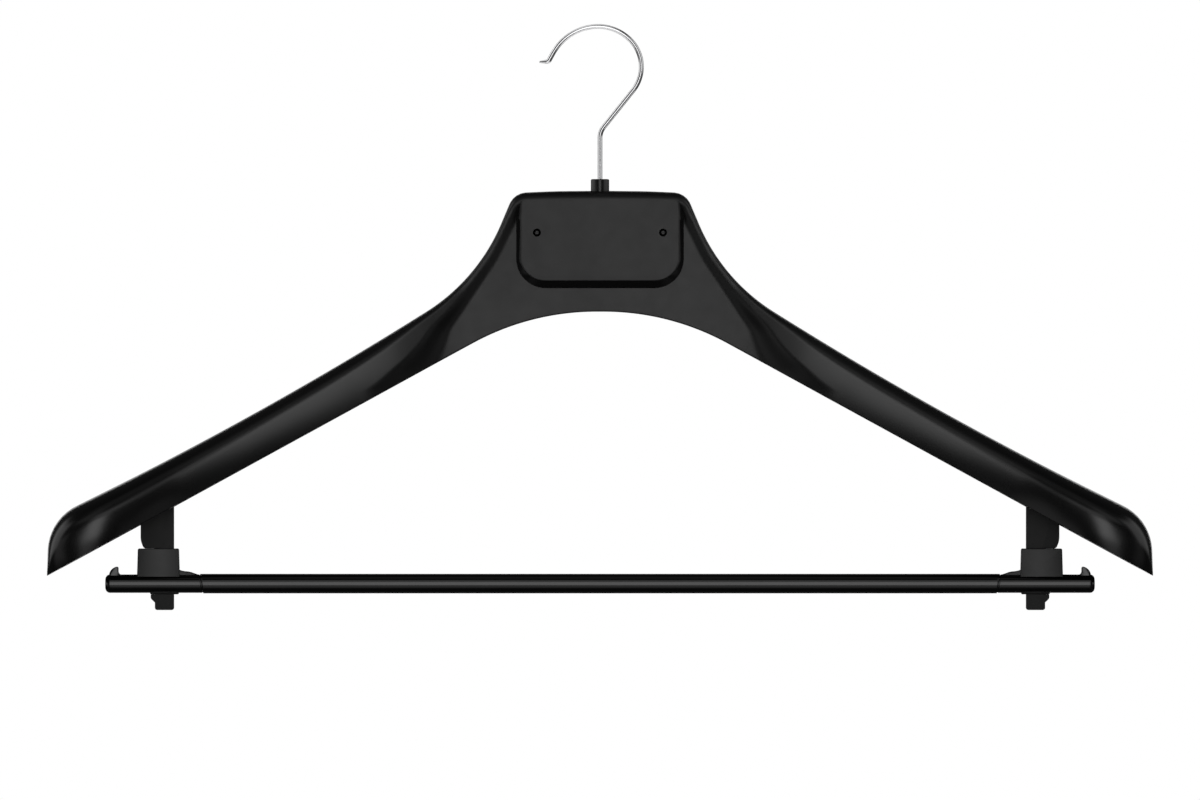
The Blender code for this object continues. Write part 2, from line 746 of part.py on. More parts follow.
def make_shell():
    shares = spread(RING_SHARES) + tip_shares(RING_SHARES[-1][1], 1 - TIP_END_SHARE, TIP_RINGS)
    shell = loft("hanger_shell", [section(share) for share in shares], black_plastic("shell_plastic"))
    cut(shell, make_core())
    cut(shell, plate_body("plate_recess", GAP, OVERRUN))
    cut(shell, cylinder("stem_hole", COLLAR_SLEEVE_RADIUS + GAP,
                        (0, 0, HEAD_TOP_Z + OVERRUN), (0, 0, HEAD_TOP_Z - STEM_BOSS_LENGTH - OVERRUN)))
    cut(shell, cylinder("collar_seat", COLLAR_RADIUS + GAP, (0, 0, HEAD_TOP_Z + OVERRUN),
                        (0, 0, HEAD_TOP_Z - COLLAR_SEAT)))
    pocket_top = HEAD_TOP_Z - STEM_BOSS_LENGTH - EMBED
    cut(shell, box("pocket_window",
                   (-POCKET_WIDTH / 2, -HEAD_HALF_DEPTH - OVERRUN, pocket_top - POCKET_HEIGHT),
                   (POCKET_WIDTH / 2, 0, pocket_top)))
    for side, word in ((1, "right"), (-1, "left")):
        x, z = pin_place(side)
        cut(shell, cylinder(f"pin_hole_{word}", PIN_RADIUS + GAP, (x, -HEAD_HALF_DEPTH - OVERRUN, z),
                            (x, plate_face_y() + PIN_SINK + PIN_HEAD_HEIGHT + PIN_LENGTH + GAP, z)))
        low, high = side_box(side, POST_INNER - GAP, POST_INNER + POST_WIDTH + GAP)
        half = POST_THICKNESS / 2 + GAP
        cut(shell, box(f"post_socket_{word}", (low, bar_y() - half, socket_mouth_z() - SHOULDER_HALF_DEPTH),
                       (high, bar_y() + half, post_top_z() + GAP)))
    return shell


# Cover plate and its pins

def plate_outline(half_width, top_half_width, bottom_drop, corner_radius, clearance=0.0):
    """Closed outline of the plate, wound from the middle of its top round to the left."""
    top = HEAD_TOP_Z - PLATE_TOP_GAP + clearance
    side = half_width + clearance
    top_side = top_half_width + clearance
    bottom = HEAD_TOP_Z - PLATE_TOP_GAP - bottom_drop - clearance
    slope = (HEAD_CORNER_FALL - HEAD_CROWN_FALL) / (HEAD_HALF_WIDTH - HEAD_CROWN_PLACE)
    corner_z = top - HEAD_CROWN_FALL - (top_side - HEAD_CROWN_PLACE) * slope
    right = [(0, top), (HEAD_CROWN_PLACE, top - HEAD_CROWN_FALL), (top_side, corner_z),
             (side, corner_z - PLATE_TOP_SIDE), (side, bottom), (0, bottom)]
    radii = (HEAD_CROWN_RADIUS, PLATE_TOP_CORNER_RADIUS, PLATE_CORNER_RADIUS, corner_radius)
    path = rounded_path(right, radii, count=PLATE_ARC_SPANS)
    left = [(-x, z) for x, z in reversed(path[1:-1])]
    return path + left


def plate_back_y():
    return -HEAD_HALF_DEPTH + PLATE_RECESS - GAP


def plate_face_y():
    """The plate's face is flush with the head's rim."""
    return -HEAD_HALF_DEPTH - RIM_HEIGHT


def plate_body(name, clearance=0.0, reach=0.0, material=None):
    """The plate, or its recess when there is a clearance."""
    base = plate_outline(PLATE_HALF_WIDTH, PLATE_TOP_HALF_WIDTH, PLATE_HEIGHT,
                         PLATE_CORNER_RADIUS, clearance)
    face = plate_outline(PLATE_FACE_HALF_WIDTH, PLATE_FACE_TOP_HALF_WIDTH,
                         PLATE_HEIGHT - PLATE_BEVEL_DROP, PLATE_FACE_CORNER_RADIUS)
    back_y = plate_back_y() + clearance
    if reach:
        levels = [(base, back_y), (base, plate_face_y() - reach)]
    else:
        levels = [(base, back_y), (base, back_y - PLATE_EDGE)]
        rise = back_y - plate_face_y() - PLATE_EDGE
        for share in COVE_SHARES:
            height = 1 - math.sqrt(1 - share * share)
            outline = [(bx + (fx - bx) * share, bz + (fz - bz) * share)
                       for (bx, bz), (fx, fz) in zip(base, face)]
            levels.append((outline, back_y - PLATE_EDGE - rise * height))
    shape = bmesh.new()
    loops = [[shape.verts.new((x, y, z)) for x, z in outline] for outline, y in levels]
    for near, far in zip(loops, loops[1:]):
        for index in range(len(near)):
            following = (index + 1) % len(near)
            shape.faces.new((near[index], near[following], far[following], far[index]))
    shape.faces.new(loops[0])
    shape.faces.new(loops[-1])
    return object_from_bmesh(name, shape, material)


def make_front_plate():
    plate = plate_body("front_plate", material=black_plastic("plate_plastic", 0.38))
    seat_y = plate_face_y() + PIN_SINK + PIN_HEAD_HEIGHT + GAP
    for side, word in ((1, "right"), (-1, "left")):
        x, z = pin_place(side)
        cut(plate, cylinder(f"pin_recess_{word}", PIN_HEAD_RADIUS + GAP, (x, plate_face_y() - OVERRUN, z),
                            (x, seat_y, z)))
        cut(plate, cylinder(f"plate_hole_{word}", PIN_RADIUS + GAP, (x, plate_face_y(), z),
                            (x, plate_back_y() + OVERRUN, z)))
    return plate


def make_pin(side, word):
    foot, end = -PIN_HEAD_HEIGHT, -PIN_HEAD_HEIGHT - PIN_LENGTH
    profile = [(0, -PIN_DIMPLE_DEPTH), (PIN_DIMPLE_RADIUS / 2, -PIN_DIMPLE_DEPTH), (PIN_DIMPLE_RADIUS, 0),
               (PIN_HEAD_RADIUS - PIN_DIMPLE_RADIUS / 2, 0), (PIN_HEAD_RADIUS, -PIN_DIMPLE_RADIUS / 2),
               (PIN_HEAD_RADIUS, foot), (PIN_RADIUS, foot), (PIN_RADIUS, end), (0, end)]
    pin = turned(f"plate_pin_{word}", profile, black_plastic(f"pin_{word}_plastic", 0.30), steps=16)
    x, z = pin_place(side)
    pin.location = (x, plate_face_y() + PIN_SINK, z)
    pin.rotation_euler = (math.pi / 2, 0, 0)
    return pin


# Hook and what holds it

def polar(angle):
    return Vector((math.cos(angle), math.sin(angle)))


def hook_path():
    """Centre line of the wire in the XZ plane, from its lower end to its lip."""
    side_out = polar(HOOK_SIDE_END) * (HOOK_CROWN_RADIUS - HOOK_SIDE_RADIUS)
    side = Vector((HOOK_SIDE_OFFSET, WIRE_RADIUS - HOOK_CROWN_RADIUS + side_out.y))
    crown = side - side_out
    mouth = crown - polar(HOOK_CROWN_END) * (HOOK_MOUTH_RADIUS - HOOK_CROWN_RADIUS)
    leave = side + polar(-HOOK_LEAN) * HOOK_SIDE_RADIUS
    corner = (0, leave.y - leave.x / math.tan(HOOK_LEAN))
    points = rounded_path(((0, wire_end_z()), corner, leave), (HOOK_STEM_RADIUS,))[:-1]
    points += arc_points(side, HOOK_SIDE_RADIUS, -HOOK_LEAN, HOOK_SIDE_END)[:-1]
    points += arc_points(crown, HOOK_CROWN_RADIUS, HOOK_SIDE_END, HOOK_CROWN_END)[:-1]
    points += arc_points(mouth, HOOK_MOUTH_RADIUS, HOOK_CROWN_END, HOOK_MOUTH_END)[:-1]
    start = mouth + polar(HOOK_MOUTH_END) * HOOK_MOUTH_RADIUS
    bend = start + polar(HOOK_MOUTH_END + math.pi / 2) * HOOK_RUN_OUT
    lip = bend + polar(HOOK_LIP_ANGLE) * HOOK_LIP_LENGTH
    points += rounded_path((start, bend, lip), (HOOK_LIP_RADIUS,), ARC_STEP * 2)
    return points


def sleeve_end_z():
    return HEAD_TOP_Z - STEM_BOSS_LENGTH


def wire_end_z():
    return sleeve_end_z() - GAP - WASHER_THICKNESS - GAP - RING_HEIGHT - STEM_TAIL


def make_hook():
    points = hook_path()
    curve = bpy.data.curves.new("hook", "CURVE")
    curve.dimensions = "3D"
    curve.bevel_depth = WIRE_RADIUS
    curve.bevel_resolution = 4
    curve.use_fill_caps = True
    spline = curve.splines.new("POLY")
    spline.points.add(len(points) - 1)
    for point, (x, z) in zip(spline.points, points):
        point.co = (x, 0, z, 1)
    spline.points[-1].radius = HOOK_LIP_TAPER_SHARE
    spline.use_smooth = True
    return add_object("hook", curve, bright_steel("hook_steel"))


def make_collar():
    foot = HEAD_TOP_Z - COLLAR_SEAT + GAP
    top = foot + COLLAR_HEIGHT
    end = sleeve_end_z()
    bore = WIRE_RADIUS + GAP
    profile = [(bore, top), (COLLAR_RADIUS - COLLAR_ROUND, top),
               (COLLAR_RADIUS - COLLAR_ROUND / 4, top - COLLAR_ROUND / 4),
               (COLLAR_RADIUS, top - COLLAR_ROUND), (COLLAR_RADIUS, foot),
               (COLLAR_SLEEVE_RADIUS, foot), (COLLAR_SLEEVE_RADIUS, end), (bore, end)]
    return turned("hook_collar", profile, black_plastic("collar_plastic", 0.34), closed=True)


def make_washer():
    top = sleeve_end_z() - GAP
    bore = WIRE_RADIUS + GAP
    profile = [(bore, top), (WASHER_RADIUS, top), (WASHER_RADIUS, top - WASHER_THICKNESS),
               (bore, top - WASHER_THICKNESS)]
    return turned("stem_washer", profile, plain_steel("washer_steel"), closed=True)


def make_retainer():
    top = sleeve_end_z() - GAP - WASHER_THICKNESS - GAP
    bottom = top - RING_HEIGHT
    bore = WIRE_RADIUS + GAP
    profile = [(bore, top), (RING_RADIUS, top), (RING_RADIUS, bottom + RING_CHAMFER),
               (RING_RADIUS - RING_CHAMFER, bottom), (bore, bottom)]
    return turned("hook_retainer", profile, plain_steel("retainer_steel"), closed=True)


# Posts and trouser bar

def post_outline():
    """Post on the right side: body, shoulder, tab and barb."""
    inner, outer = POST_INNER, POST_INNER + POST_WIDTH
    top, foot = post_top_z(), shoulder_z() + GAP
    tab_outer = inner + TAB_WIDTH
    end = bar_z() - END_RADIUS - TAB_TAIL
    barb_top = bar_z() - END_RADIUS - BOSS_DEPTH - GAP
    barb_foot = barb_top - BARB_HEIGHT
    corners = [
        (inner + POST_TOP_CHAMFER, top), (inner, top - POST_TOP_CHAMFER), (inner, end), (tab_outer, end),
        (tab_outer, barb_foot - BARB_ROUND), (tab_outer + BARB_WIDTH, barb_foot + BARB_HEIGHT / 3),
        (tab_outer + BARB_WIDTH, barb_top), (tab_outer, barb_top), (tab_outer, foot),
        (outer - POST_CHAMFER_WIDTH, foot), (outer, foot + POST_CHAMFER_HEIGHT),
        (outer, top - POST_TOP_CHAMFER), (outer - POST_TOP_CHAMFER, top),
    ]
    radii = [0, 0, TAB_CORNER_RADIUS, TAB_CORNER_RADIUS, 0, BARB_ROUND, 0, 0, 0, 0, 0, 0, 0]
    return rounded_outline(corners, radii)


def make_post(side, word):
    outline = post_outline() if side > 0 else mirrored(post_outline())
    return plate_from_outline(f"post_{word}", outline, bar_y(), POST_THICKNESS,
                              black_plastic(f"post_{word}_plastic"))


def along_bar(obj, side=1):
    """Lay a shape turned about Z along the bar, its top end towards the given side."""
    obj.rotation_euler = (0, side * math.pi / 2, 0)
    obj.location = (0, bar_y(), bar_z())
    return as_mesh_object(obj)


def lean_rings(obj, near, far, side):
    """Lean the rings that lie between two distances from the middle, as the slanted joint does."""
    for vertex in obj.data.vertices:
        if near <= vertex.co.x * side <= far:
            vertex.co.x += (vertex.co.z - bar_z()) * JOINT_LEAN * side


def make_bar_tube(name, radius, wall, half_length, material):
    inner = radius - wall
    profile = [(inner, half_length), (radius, half_length), (radius, -half_length), (inner, -half_length)]
    return along_bar(turned(name, profile, material, closed=True))


def make_sleeve():
    half_length = JOINT_PLACE - GAP / 2
    sleeve = make_bar_tube("bar_sleeve", SLEEVE_RADIUS, SLEEVE_WALL, half_length,
                           black_plastic("sleeve_plastic", 0.24))
    for side in (1, -1):
        lean_rings(sleeve, half_length - GAP, half_length + GAP, side)
    return sleeve


def make_core_tube():
    return make_bar_tube("bar_core", CORE_RADIUS, CORE_WALL, JOINT_PLACE - CORE_SETBACK,
                         plain_steel("core_steel"))


def fitting_body(name, side, material):
    """Turned part of an end fitting: spigot, slanted shoulder, round body and rounded end."""
    joint = JOINT_PLACE + GAP / 2
    spigot_radius = CORE_RADIUS - CORE_WALL - GAP
    end_arc = arc_points((END_RADIUS - END_ROUND, BAR_HALF_LENGTH - END_ROUND), END_ROUND,
                         math.pi / 2, 0, ARC_STEP * 3)
    profile = [(0, BAR_HALF_LENGTH)] + end_arc
    profile += [(END_RADIUS, joint), (spigot_radius, joint), (spigot_radius, JOINT_PLACE - SPIGOT_LENGTH),
                (0, JOINT_PLACE - SPIGOT_LENGTH)]
    body = along_bar(turned(name, profile, material), side)
    lean_rings(body, joint - GAP / 2, joint + GAP / 2, side)
    return body


def make_bar_end(side, word):
    fitting = fitting_body(f"bar_end_{word}", side, black_plastic(f"bar_end_{word}_plastic", 0.26))
    top, axis = shoulder_z(), bar_z()
    inner = POST_INNER - BLOCK_OVERHANG
    outer = POST_INNER + POST_WIDTH + BLOCK_OUTER_OVERHANG
    block_corners = [(inner - BLOCK_FLARE, axis), (outer + BLOCK_FLARE, axis), (outer, top), (inner, top)]
    block_shape = rounded_outline(block_corners, [0, 0, BLOCK_ROUND, BLOCK_ROUND])
    gusset_top = axis + END_RADIUS + GUSSET_HEIGHT
    gusset = [(inner - GUSSET_LENGTH, axis), (inner + EMBED, axis), (inner + EMBED, gusset_top),
              (inner - GUSSET_LENGTH / 2, axis + END_RADIUS + GUSSET_HEIGHT / 2),
              (inner - GUSSET_LENGTH, axis + END_RADIUS - EMBED)]
    boss_foot = axis - END_RADIUS - BOSS_DEPTH
    boss_inner, boss_outer = POST_INNER - BOSS_MARGIN, POST_INNER + TAB_WIDTH + BOSS_MARGIN
    boss_corners = [(boss_inner, boss_foot), (boss_outer, boss_foot),
                    (boss_outer, axis), (boss_inner, axis)]
    boss = rounded_outline(boss_corners, [BOSS_ROUND, BOSS_ROUND, 0, 0])
    horn_base = axis + END_RADIUS
    horn_outer = BAR_HALF_LENGTH - HORN_SETBACK
    horn = [(horn_outer - HORN_WIDTH, horn_base - HORN_FOOT), (horn_outer, horn_base - HORN_FOOT)]
    horn += [(horn_outer - across * HORN_WIDTH, horn_base + up * HORN_HEIGHT)
             for across, up in HORN_SHARES]
    pieces = (("block", block_shape, BLOCK_THICKNESS), ("gusset", gusset, GUSSET_THICKNESS),
              ("boss", boss, BOSS_THICKNESS), ("horn", horn, HORN_THICKNESS))
    for piece_name, outline, thickness in pieces:
        outline = outline if side > 0 else mirrored(outline)
        join(fitting, plate_from_outline(f"{piece_name}_{word}", outline, bar_y(), thickness))
    low, high = side_box(side, POST_INNER - GAP, POST_INNER + TAB_WIDTH + GAP)
    half = POST_THICKNESS / 2 + GAP
    cut(fitting, box(f"tab_slot_{word}", (low, bar_y() - half, boss_foot - OVERRUN),
                     (high, bar_y() + half, top + OVERRUN)))
    return fitting


def main():
    clear_scene()
    new_collection(COLLECTION)
    new_collection(CUTTERS)
    pieces = [make_shell(), make_front_plate(), make_hook(), make_collar(), make_washer(), make_retainer(),
              make_sleeve(), make_core_tube()]
    for side, word in ((1, "right"), (-1, "left")):
        pieces += [make_pin(side, word), make_post(side, word), make_bar_end(side, word)]
    for piece in pieces:
        if piece.type == "MESH":
            shade_round(piece)


main()
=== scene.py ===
"""Looks of the suit hanger: its fine surfaces, finishes and studio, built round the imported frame.

Metres, +Z up. The front faces -Y, and the origin is the seat of the hook.
"""

import math

import bmesh
import bpy
import numpy as np
from bpy.props import FloatProperty, FloatVectorProperty, PointerProperty
from mathutils import Matrix, Vector


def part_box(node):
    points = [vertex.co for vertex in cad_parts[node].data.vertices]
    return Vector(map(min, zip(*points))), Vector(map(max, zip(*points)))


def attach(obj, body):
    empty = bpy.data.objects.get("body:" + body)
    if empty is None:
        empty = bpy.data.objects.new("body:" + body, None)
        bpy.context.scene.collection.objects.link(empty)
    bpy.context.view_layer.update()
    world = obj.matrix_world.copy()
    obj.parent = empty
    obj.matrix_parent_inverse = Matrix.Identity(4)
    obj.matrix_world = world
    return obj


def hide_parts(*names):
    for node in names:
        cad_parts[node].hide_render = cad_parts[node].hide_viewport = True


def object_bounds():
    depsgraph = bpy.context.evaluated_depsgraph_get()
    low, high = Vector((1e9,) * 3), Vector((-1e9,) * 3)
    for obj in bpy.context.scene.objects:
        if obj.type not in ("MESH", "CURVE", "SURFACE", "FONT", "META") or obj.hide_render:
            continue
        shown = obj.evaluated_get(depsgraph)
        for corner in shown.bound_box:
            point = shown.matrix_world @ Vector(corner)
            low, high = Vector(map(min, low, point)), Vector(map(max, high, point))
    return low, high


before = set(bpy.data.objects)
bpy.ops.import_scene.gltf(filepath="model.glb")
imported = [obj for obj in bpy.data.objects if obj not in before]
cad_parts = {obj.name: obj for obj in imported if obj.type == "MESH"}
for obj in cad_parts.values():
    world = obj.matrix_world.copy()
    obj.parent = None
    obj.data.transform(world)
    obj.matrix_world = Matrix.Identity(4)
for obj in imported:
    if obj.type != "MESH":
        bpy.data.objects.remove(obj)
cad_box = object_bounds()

bl_info = {
    "name": "Suit Hanger",
    "version": (1, 0, 0),
    "blender": (4, 5, 0),
    "location": "View3D > Sidebar > Hanger",
    "description": "Builds the moulded body, swivel hook, cover plate and trouser bar of a suit hanger",
    "category": "Object",
}

MERGE = 0.000001              # points closer than this are one point
SIDES = ((1, "right"), (-1, "left"))
# Sides of round pieces, and steps across the plate's rolled edge
TUBE_STEPS, COLLAR_STEPS, DISC_STEPS, PIN_STEPS, WIRE_STEPS = 96, 72, 48, 40, 32
BEVEL_STEPS = 16
FULL_TURN = 2 * math.pi
QUARTER_TURN = math.pi / 2

# Places that come from the frame
HEAD_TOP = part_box("hanger_shell")[1].z
PLATE_LOW, PLATE_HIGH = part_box("front_plate")
WIRE_LOW, WIRE_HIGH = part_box("hook")
COLLAR_LOW, COLLAR_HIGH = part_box("hook_collar")
WASHER_LOW, WASHER_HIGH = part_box("stem_washer")
RING_LOW, RING_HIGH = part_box("hook_retainer")
SLEEVE_LOW, SLEEVE_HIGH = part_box("bar_sleeve")
POST_LOW, POST_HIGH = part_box("post_right")
BAR_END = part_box("bar_end_right")[1].x
PIN_LOW, PIN_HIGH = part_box("plate_pin_right")
BAR_Y = (SLEEVE_LOW.y + SLEEVE_HIGH.y) / 2
BAR_Z = (SLEEVE_LOW.z + SLEEVE_HIGH.z) / 2
SLEEVE_RADIUS = (SLEEVE_HIGH.z - SLEEVE_LOW.z) / 2
WIRE_RADIUS = (WIRE_HIGH.y - WIRE_LOW.y) / 2
COLLAR_RADIUS = (COLLAR_HIGH.x - COLLAR_LOW.x) / 2
PIN_X = (PIN_LOW.x + PIN_HIGH.x) / 2
PIN_Z = (PIN_LOW.z + PIN_HIGH.z) / 2

# Body form along the upper outline. Each row: share of the upper outline, share of the lower outline
# that the section meets, then how much of the shoulder's depth, dome, rim and sweep it has.
FORM_SHARES = np.array((
    (0.000, 0.000, 0.00, 0.19, 1.00, 0.00),
    (0.100, 0.090, 0.00, 0.17, 1.00, 0.00),
    (0.147, 0.117, 0.00, 0.00, 0.60, 0.00),
    (0.188, 0.140, 0.00, 0.00, 0.50, 0.00),
    (0.257, 0.192, 0.04, 0.03, 0.50, 0.00),
    (0.300, 0.234, 0.14, 0.07, 0.50, 0.02),
    (0.350, 0.284, 0.26, 0.15, 0.40, 0.08),
    (0.400, 0.340, 0.36, 0.26, 0.20, 0.13),
    (0.470, 0.421, 0.42, 0.34, 0.00, 0.16),
    (0.560, 0.525, 0.47, 0.38, 0.00, 0.18),
    (0.643, 0.619, 0.54, 0.43, 0.00, 0.21),
    (0.740, 0.735, 0.68, 0.54, 0.00, 0.34),
    (0.821, 0.832, 0.88, 0.66, 0.00, 0.64),
    (0.860, 0.877, 0.96, 0.72, 0.00, 0.82),
    (0.883, 0.903, 0.99, 0.74, 0.00, 0.89),
    (0.917, 0.939, 1.00, 0.74, 0.00, 0.96),
    (0.952, 0.968, 1.00, 0.70, 0.00, 1.00),
    (0.979, 0.989, 1.00, 0.67, 0.00, 1.01),
    (1.000, 1.000, 1.00, 0.65, 0.00, 1.01),
))
SLANT_LIMIT_SHARE = 0.40      # a section that runs flatter than this to the outline counts as this flat
ROLL_LIMIT_SHARE = 0.58       # the rounded edge takes at most this share of a section
CREASE_SPREAD_SHARE = 1.1     # the crease widens down to this share of its height
TIP_ROUND_SHARE = 0.215       # share of the upper outline over which the shoulder's end closes
HOLLOW_TIP_SHARE = 0.035      # the hollow ends this much earlier
EVEN_STATION_SHARE = 0.80     # share of the stations that lie before the closing end
STATIONS = 150                # sections on each side
# Steps down a section: over its rounded edge, then along its wall
OUTER_STEPS = (26, 40)
HOLLOW_STEPS = (12, 14)
TRIM_STEPS = (10, 10)
CREASE_SPREAD_POWER = 5       # how late on its way down the crease widens
# Corners of the crease: distance from the middle, drop below the head's top. Then their radii.
CREASE_CORNERS = ((0, 0.0062), (0.0330, 0.0062), (0.0430, 0.0274), (0.0630, 0.0569), (0.0675, 0.0739))
CREASE_RADII = (0.0020, 0.0400, 0.0150)
RIB_PLACE_SHARES = (0.276, 0.382, 0.489, 0.596, 0.693, 0.907)

# Inside the body
FIT_GAP = 0.0003              # gap round a piece that is pushed in
OVERCUT = 0.0040              # how far a cutter passes what it cuts
SOCKET_WALL = 0.0016
PIN_BOSS_RADIUS = 0.0026
PIN_HOLE_RADIUS = 0.0011
STEM_BOSS_HALF_WIDTH = 0.0055
POCKET_HALF_WIDTH = 0.0070
POCKET_TOP = 0.0006           # collar's lower end to the top of the lock ring's pocket
POCKET_FLOOR = 0.0116
SEAT_GAP = 0.00008            # gap round the collar's cap
SEAT_DEPTH = 0.0006

# Small forms of the other pieces
RECESS_LIP = 0.0004           # how far a countersink starts in front of the plate
RECESS_GAP = 0.00004          # gap round a pin's head
PIN_HEAD_HEIGHT = 0.0009
DIMPLE_DEPTH_SHARE = 0.8
WIRE_CHAMFER = 0.0003
WIRE_TIP_SHARE = 0.6          # length of the lip's rounded end, as a share of its radius
COLLAR_CHAMFER = 0.0002
DISC_CHAMFER = 0.0001
BARB_RUN = 0.0008             # length of the barb's slope below its height
# Roundings of a post's corners, from its inner top round to its outer top; None is the tab's rounding
POST_ROUNDS = (0.0010, None, None, 0, 0.0006, 0.0003, 0, 0, 0.0008, 0.0015, 0.0010)
BLOCK_ROUND = 0.0006
BOSS_ROUND = 0.0004
SPIGOT_GAP = 0.0015           # wall of the steel core and the gap to it
HORN_FOOT = 0.0030            # how deep the horn stands in the fitting
SLOT_GAP = 0.0001
SLEEVE_ROUND = 0.00015
# Gusset's top from the block to its end: share of its length, share of its height
GUSSET_SHARES = ((0.0, 1.0), (0.12, 0.80), (0.28, 0.66), (0.45, 0.60), (0.60, 0.46), (0.75, 0.22),
                 (0.90, 0.02), (1.0, -0.20))
GUSSET_SOFT_SHARE = 0.42
# Horn outline, outer foot to inner foot: share of its width, share of its height
HORN_SHARES = ((0.0, 0.0), (0.04, 0.24), (0.12, 0.47), (0.24, 0.68), (0.38, 0.84), (0.54, 0.95),
               (0.68, 1.0), (0.79, 0.95), (0.83, 0.82), (0.83, 0.38), (0.87, 0.16), (1.0, 0.0))

# Finishes: where a piece gets smoother away from the origin. Each row: axis, start, end, roughness.
ARM_POLISH = (("X", 0.060, 0.100, 0.30), ("X", 0.150, 0.190, 0.23))
POLISH_EDGE = 0.0001          # width over which a polished zone starts
BEVEL_ROUGHNESS = 0.16
BARREL_ROUGHNESS = 0.14
BOSS_ROUGHNESS = 0.80
BARREL_TOP_SHARE = 0.77       # height above the bar's axis where the fitting turns glossy, in radii
BOSS_TOP_SHARE = 0.88         # depth below it where the boss turns dull
OUTER_POLISH = (0.002, 0.004)  # post to the start and end of the fitting's glossy outer zone
GRAIN = 0.0000025             # depth of the moulded grain
STEEL_GRAIN = 0.000002
WIRE_GRAIN = 0.0000002
PLASTIC_IOR = 1.5

# Panels of soft light round the hanger: bearing from and to, height from and to, softness, level. Degrees;
# bearing 0 is straight in front, positive to the right.
PANELS = (
    (-10, 9, -17, 20, 8, 2.20),
    (-10, 9, -46, -17, 10, 0.50),
    (-14, 12, 22, 40, 8, 0.75),
    (-46, -14, 30, 60, 12, 0.25),
    (10, 38, 28, 60, 12, 0.38),
    (-68, -38, -34, 8, 12, 0.35),
    (-126, -66, -8, 40, 14, 0.95),
    (50, 116, -4, 46, 14, 0.80),
    (36, 62, -38, 0, 12, 0.15),
    (-180, 180, -64, -48, 12, 0.06),
    (-70, 70, 60, 95, 12, 0.10),
)
# Soft lamps that only the wire receives. Each row: name, place, width, the setting that holds its level.
WIRE_LAMPS = (
    ("wire lamp above", (-0.12, 0.10, 0.35), 0.60, "wire_top"),
    ("wire lamp below", (-0.02, 0.03, -0.30), 0.80, "wire_foot"),
)
GROUND_REACH = math.radians(20)  # mirrored rays see white this near to straight behind
FLOOR_FADE_SHARES = (0.55, 0.98)  # shares of the floor's radius over which it fades to white
PAPER = ((0.80, 0.80, 0.80, 1.0), (0.84, 0.84, 0.84, 1.0))


def metres(description, default):
    return FloatProperty, {"description": description, "default": default, "unit": "LENGTH", "precision": 5}


def number(description, default, low=0.0):
    return FloatProperty, {"description": description, "default": default, "min": low}


def share(description, default):
    return FloatProperty, {"description": description, "default": default, "min": 0.0, "max": 1.0}


def turn_angle(description, default):
    return FloatProperty, {"description": description, "default": math.radians(default), "subtype": "ANGLE"}


def colour(description, default):
    return FloatVectorProperty, {"description": description, "default": default, "size": 3,
                                 "subtype": "COLOR", "min": 0.0, "max": 1.0}


def named(group):
    """Make the properties of a group, each with its key as its name."""
    for key, (kind, settings) in group.__annotations__.items():
        group.__annotations__[key] = kind(name=key.replace("_", " ").capitalize(), **settings)
    return group


# Sizes and colours

@named
class BodySizes(bpy.types.PropertyGroup):
    """The moulded body, seen from the front and in depth."""
    half_span: metres("Middle to shoulder tip", 0.2250)
    tip_drop: metres("Top of the head to the tip", 0.1569)
    crown_place: metres("Middle to the soft bend in the head's top", 0.0194)
    crown_fall: metres("Fall of the head's top to that bend", 0.0002)
    crown_radius: metres("Radius of the head's top", 0.300)
    head_half_width: metres("Middle to the head's corner", 0.03506)
    corner_fall: metres("How far the head's corners lie below its middle", 0.0009)
    corner_radius: metres("Radius of the head's corners", 0.0078)
    neck_height: metres("Head corner to neck foot", 0.03539)
    neck_spread: metres("How far the neck widens", 0.01488)
    neck_radius: metres("Radius of the neck's curve", 0.0784)
    bow_reach: metres("Neck foot to the corner of the arm's bow", 0.08676)
    bow_fall: metres("Fall of the arm to that corner", 0.05411)
    bow_radius: metres("Radius of the arm's bow", 1.500)
    shoulder_height: metres("Tip to the shoulder's corner", 0.0229)
    shoulder_radius: metres("Radius of the shoulder's corner", 0.02085)
    shoulder_draft: metres("How far the shoulder's end leans in", 0.0007)
    arch_drop: metres("Top of the head to the top of the arch", 0.0493)
    arch_half_width: metres("Middle to the corner of the arch's tangents", 0.0284)
    arch_radius: metres("Radius of the arch", 0.1054)
    head_half_depth: metres("Half the depth of the head's flat part", 0.0060)
    rim_height: metres("How far the head's rim stands above its flat", 0.0022)
    shoulder_half_depth: metres("Half the depth of the shoulders", 0.0215)
    shoulder_sweep: metres("How far the shoulders lie forward", 0.0120)
    edge_height: metres("Height of the rounded edge down the neck", 0.0012)
    dome_height: metres("Height of the rounding on the arms", 0.0165)
    roll_power: number("Squareness of the rounding", 2.5, 1.5)
    tuck: metres("How far the arm's walls lean in at the lower edge", 0.0017)
    wall: metres("Thickness of the moulded wall", 0.0022)
    lip: metres("Radius of the wall's lower edge", 0.0004)
    crease_width: metres("Width of the crease at the head's top", 0.0040)
    crease_foot_width: metres("Width of the crease at the lower edge", 0.0210)
    rib: metres("Thickness of the ribs in the hollow", 0.0015)
    rib_lift: metres("Gap between a rib and the lower edge", 0.0040)


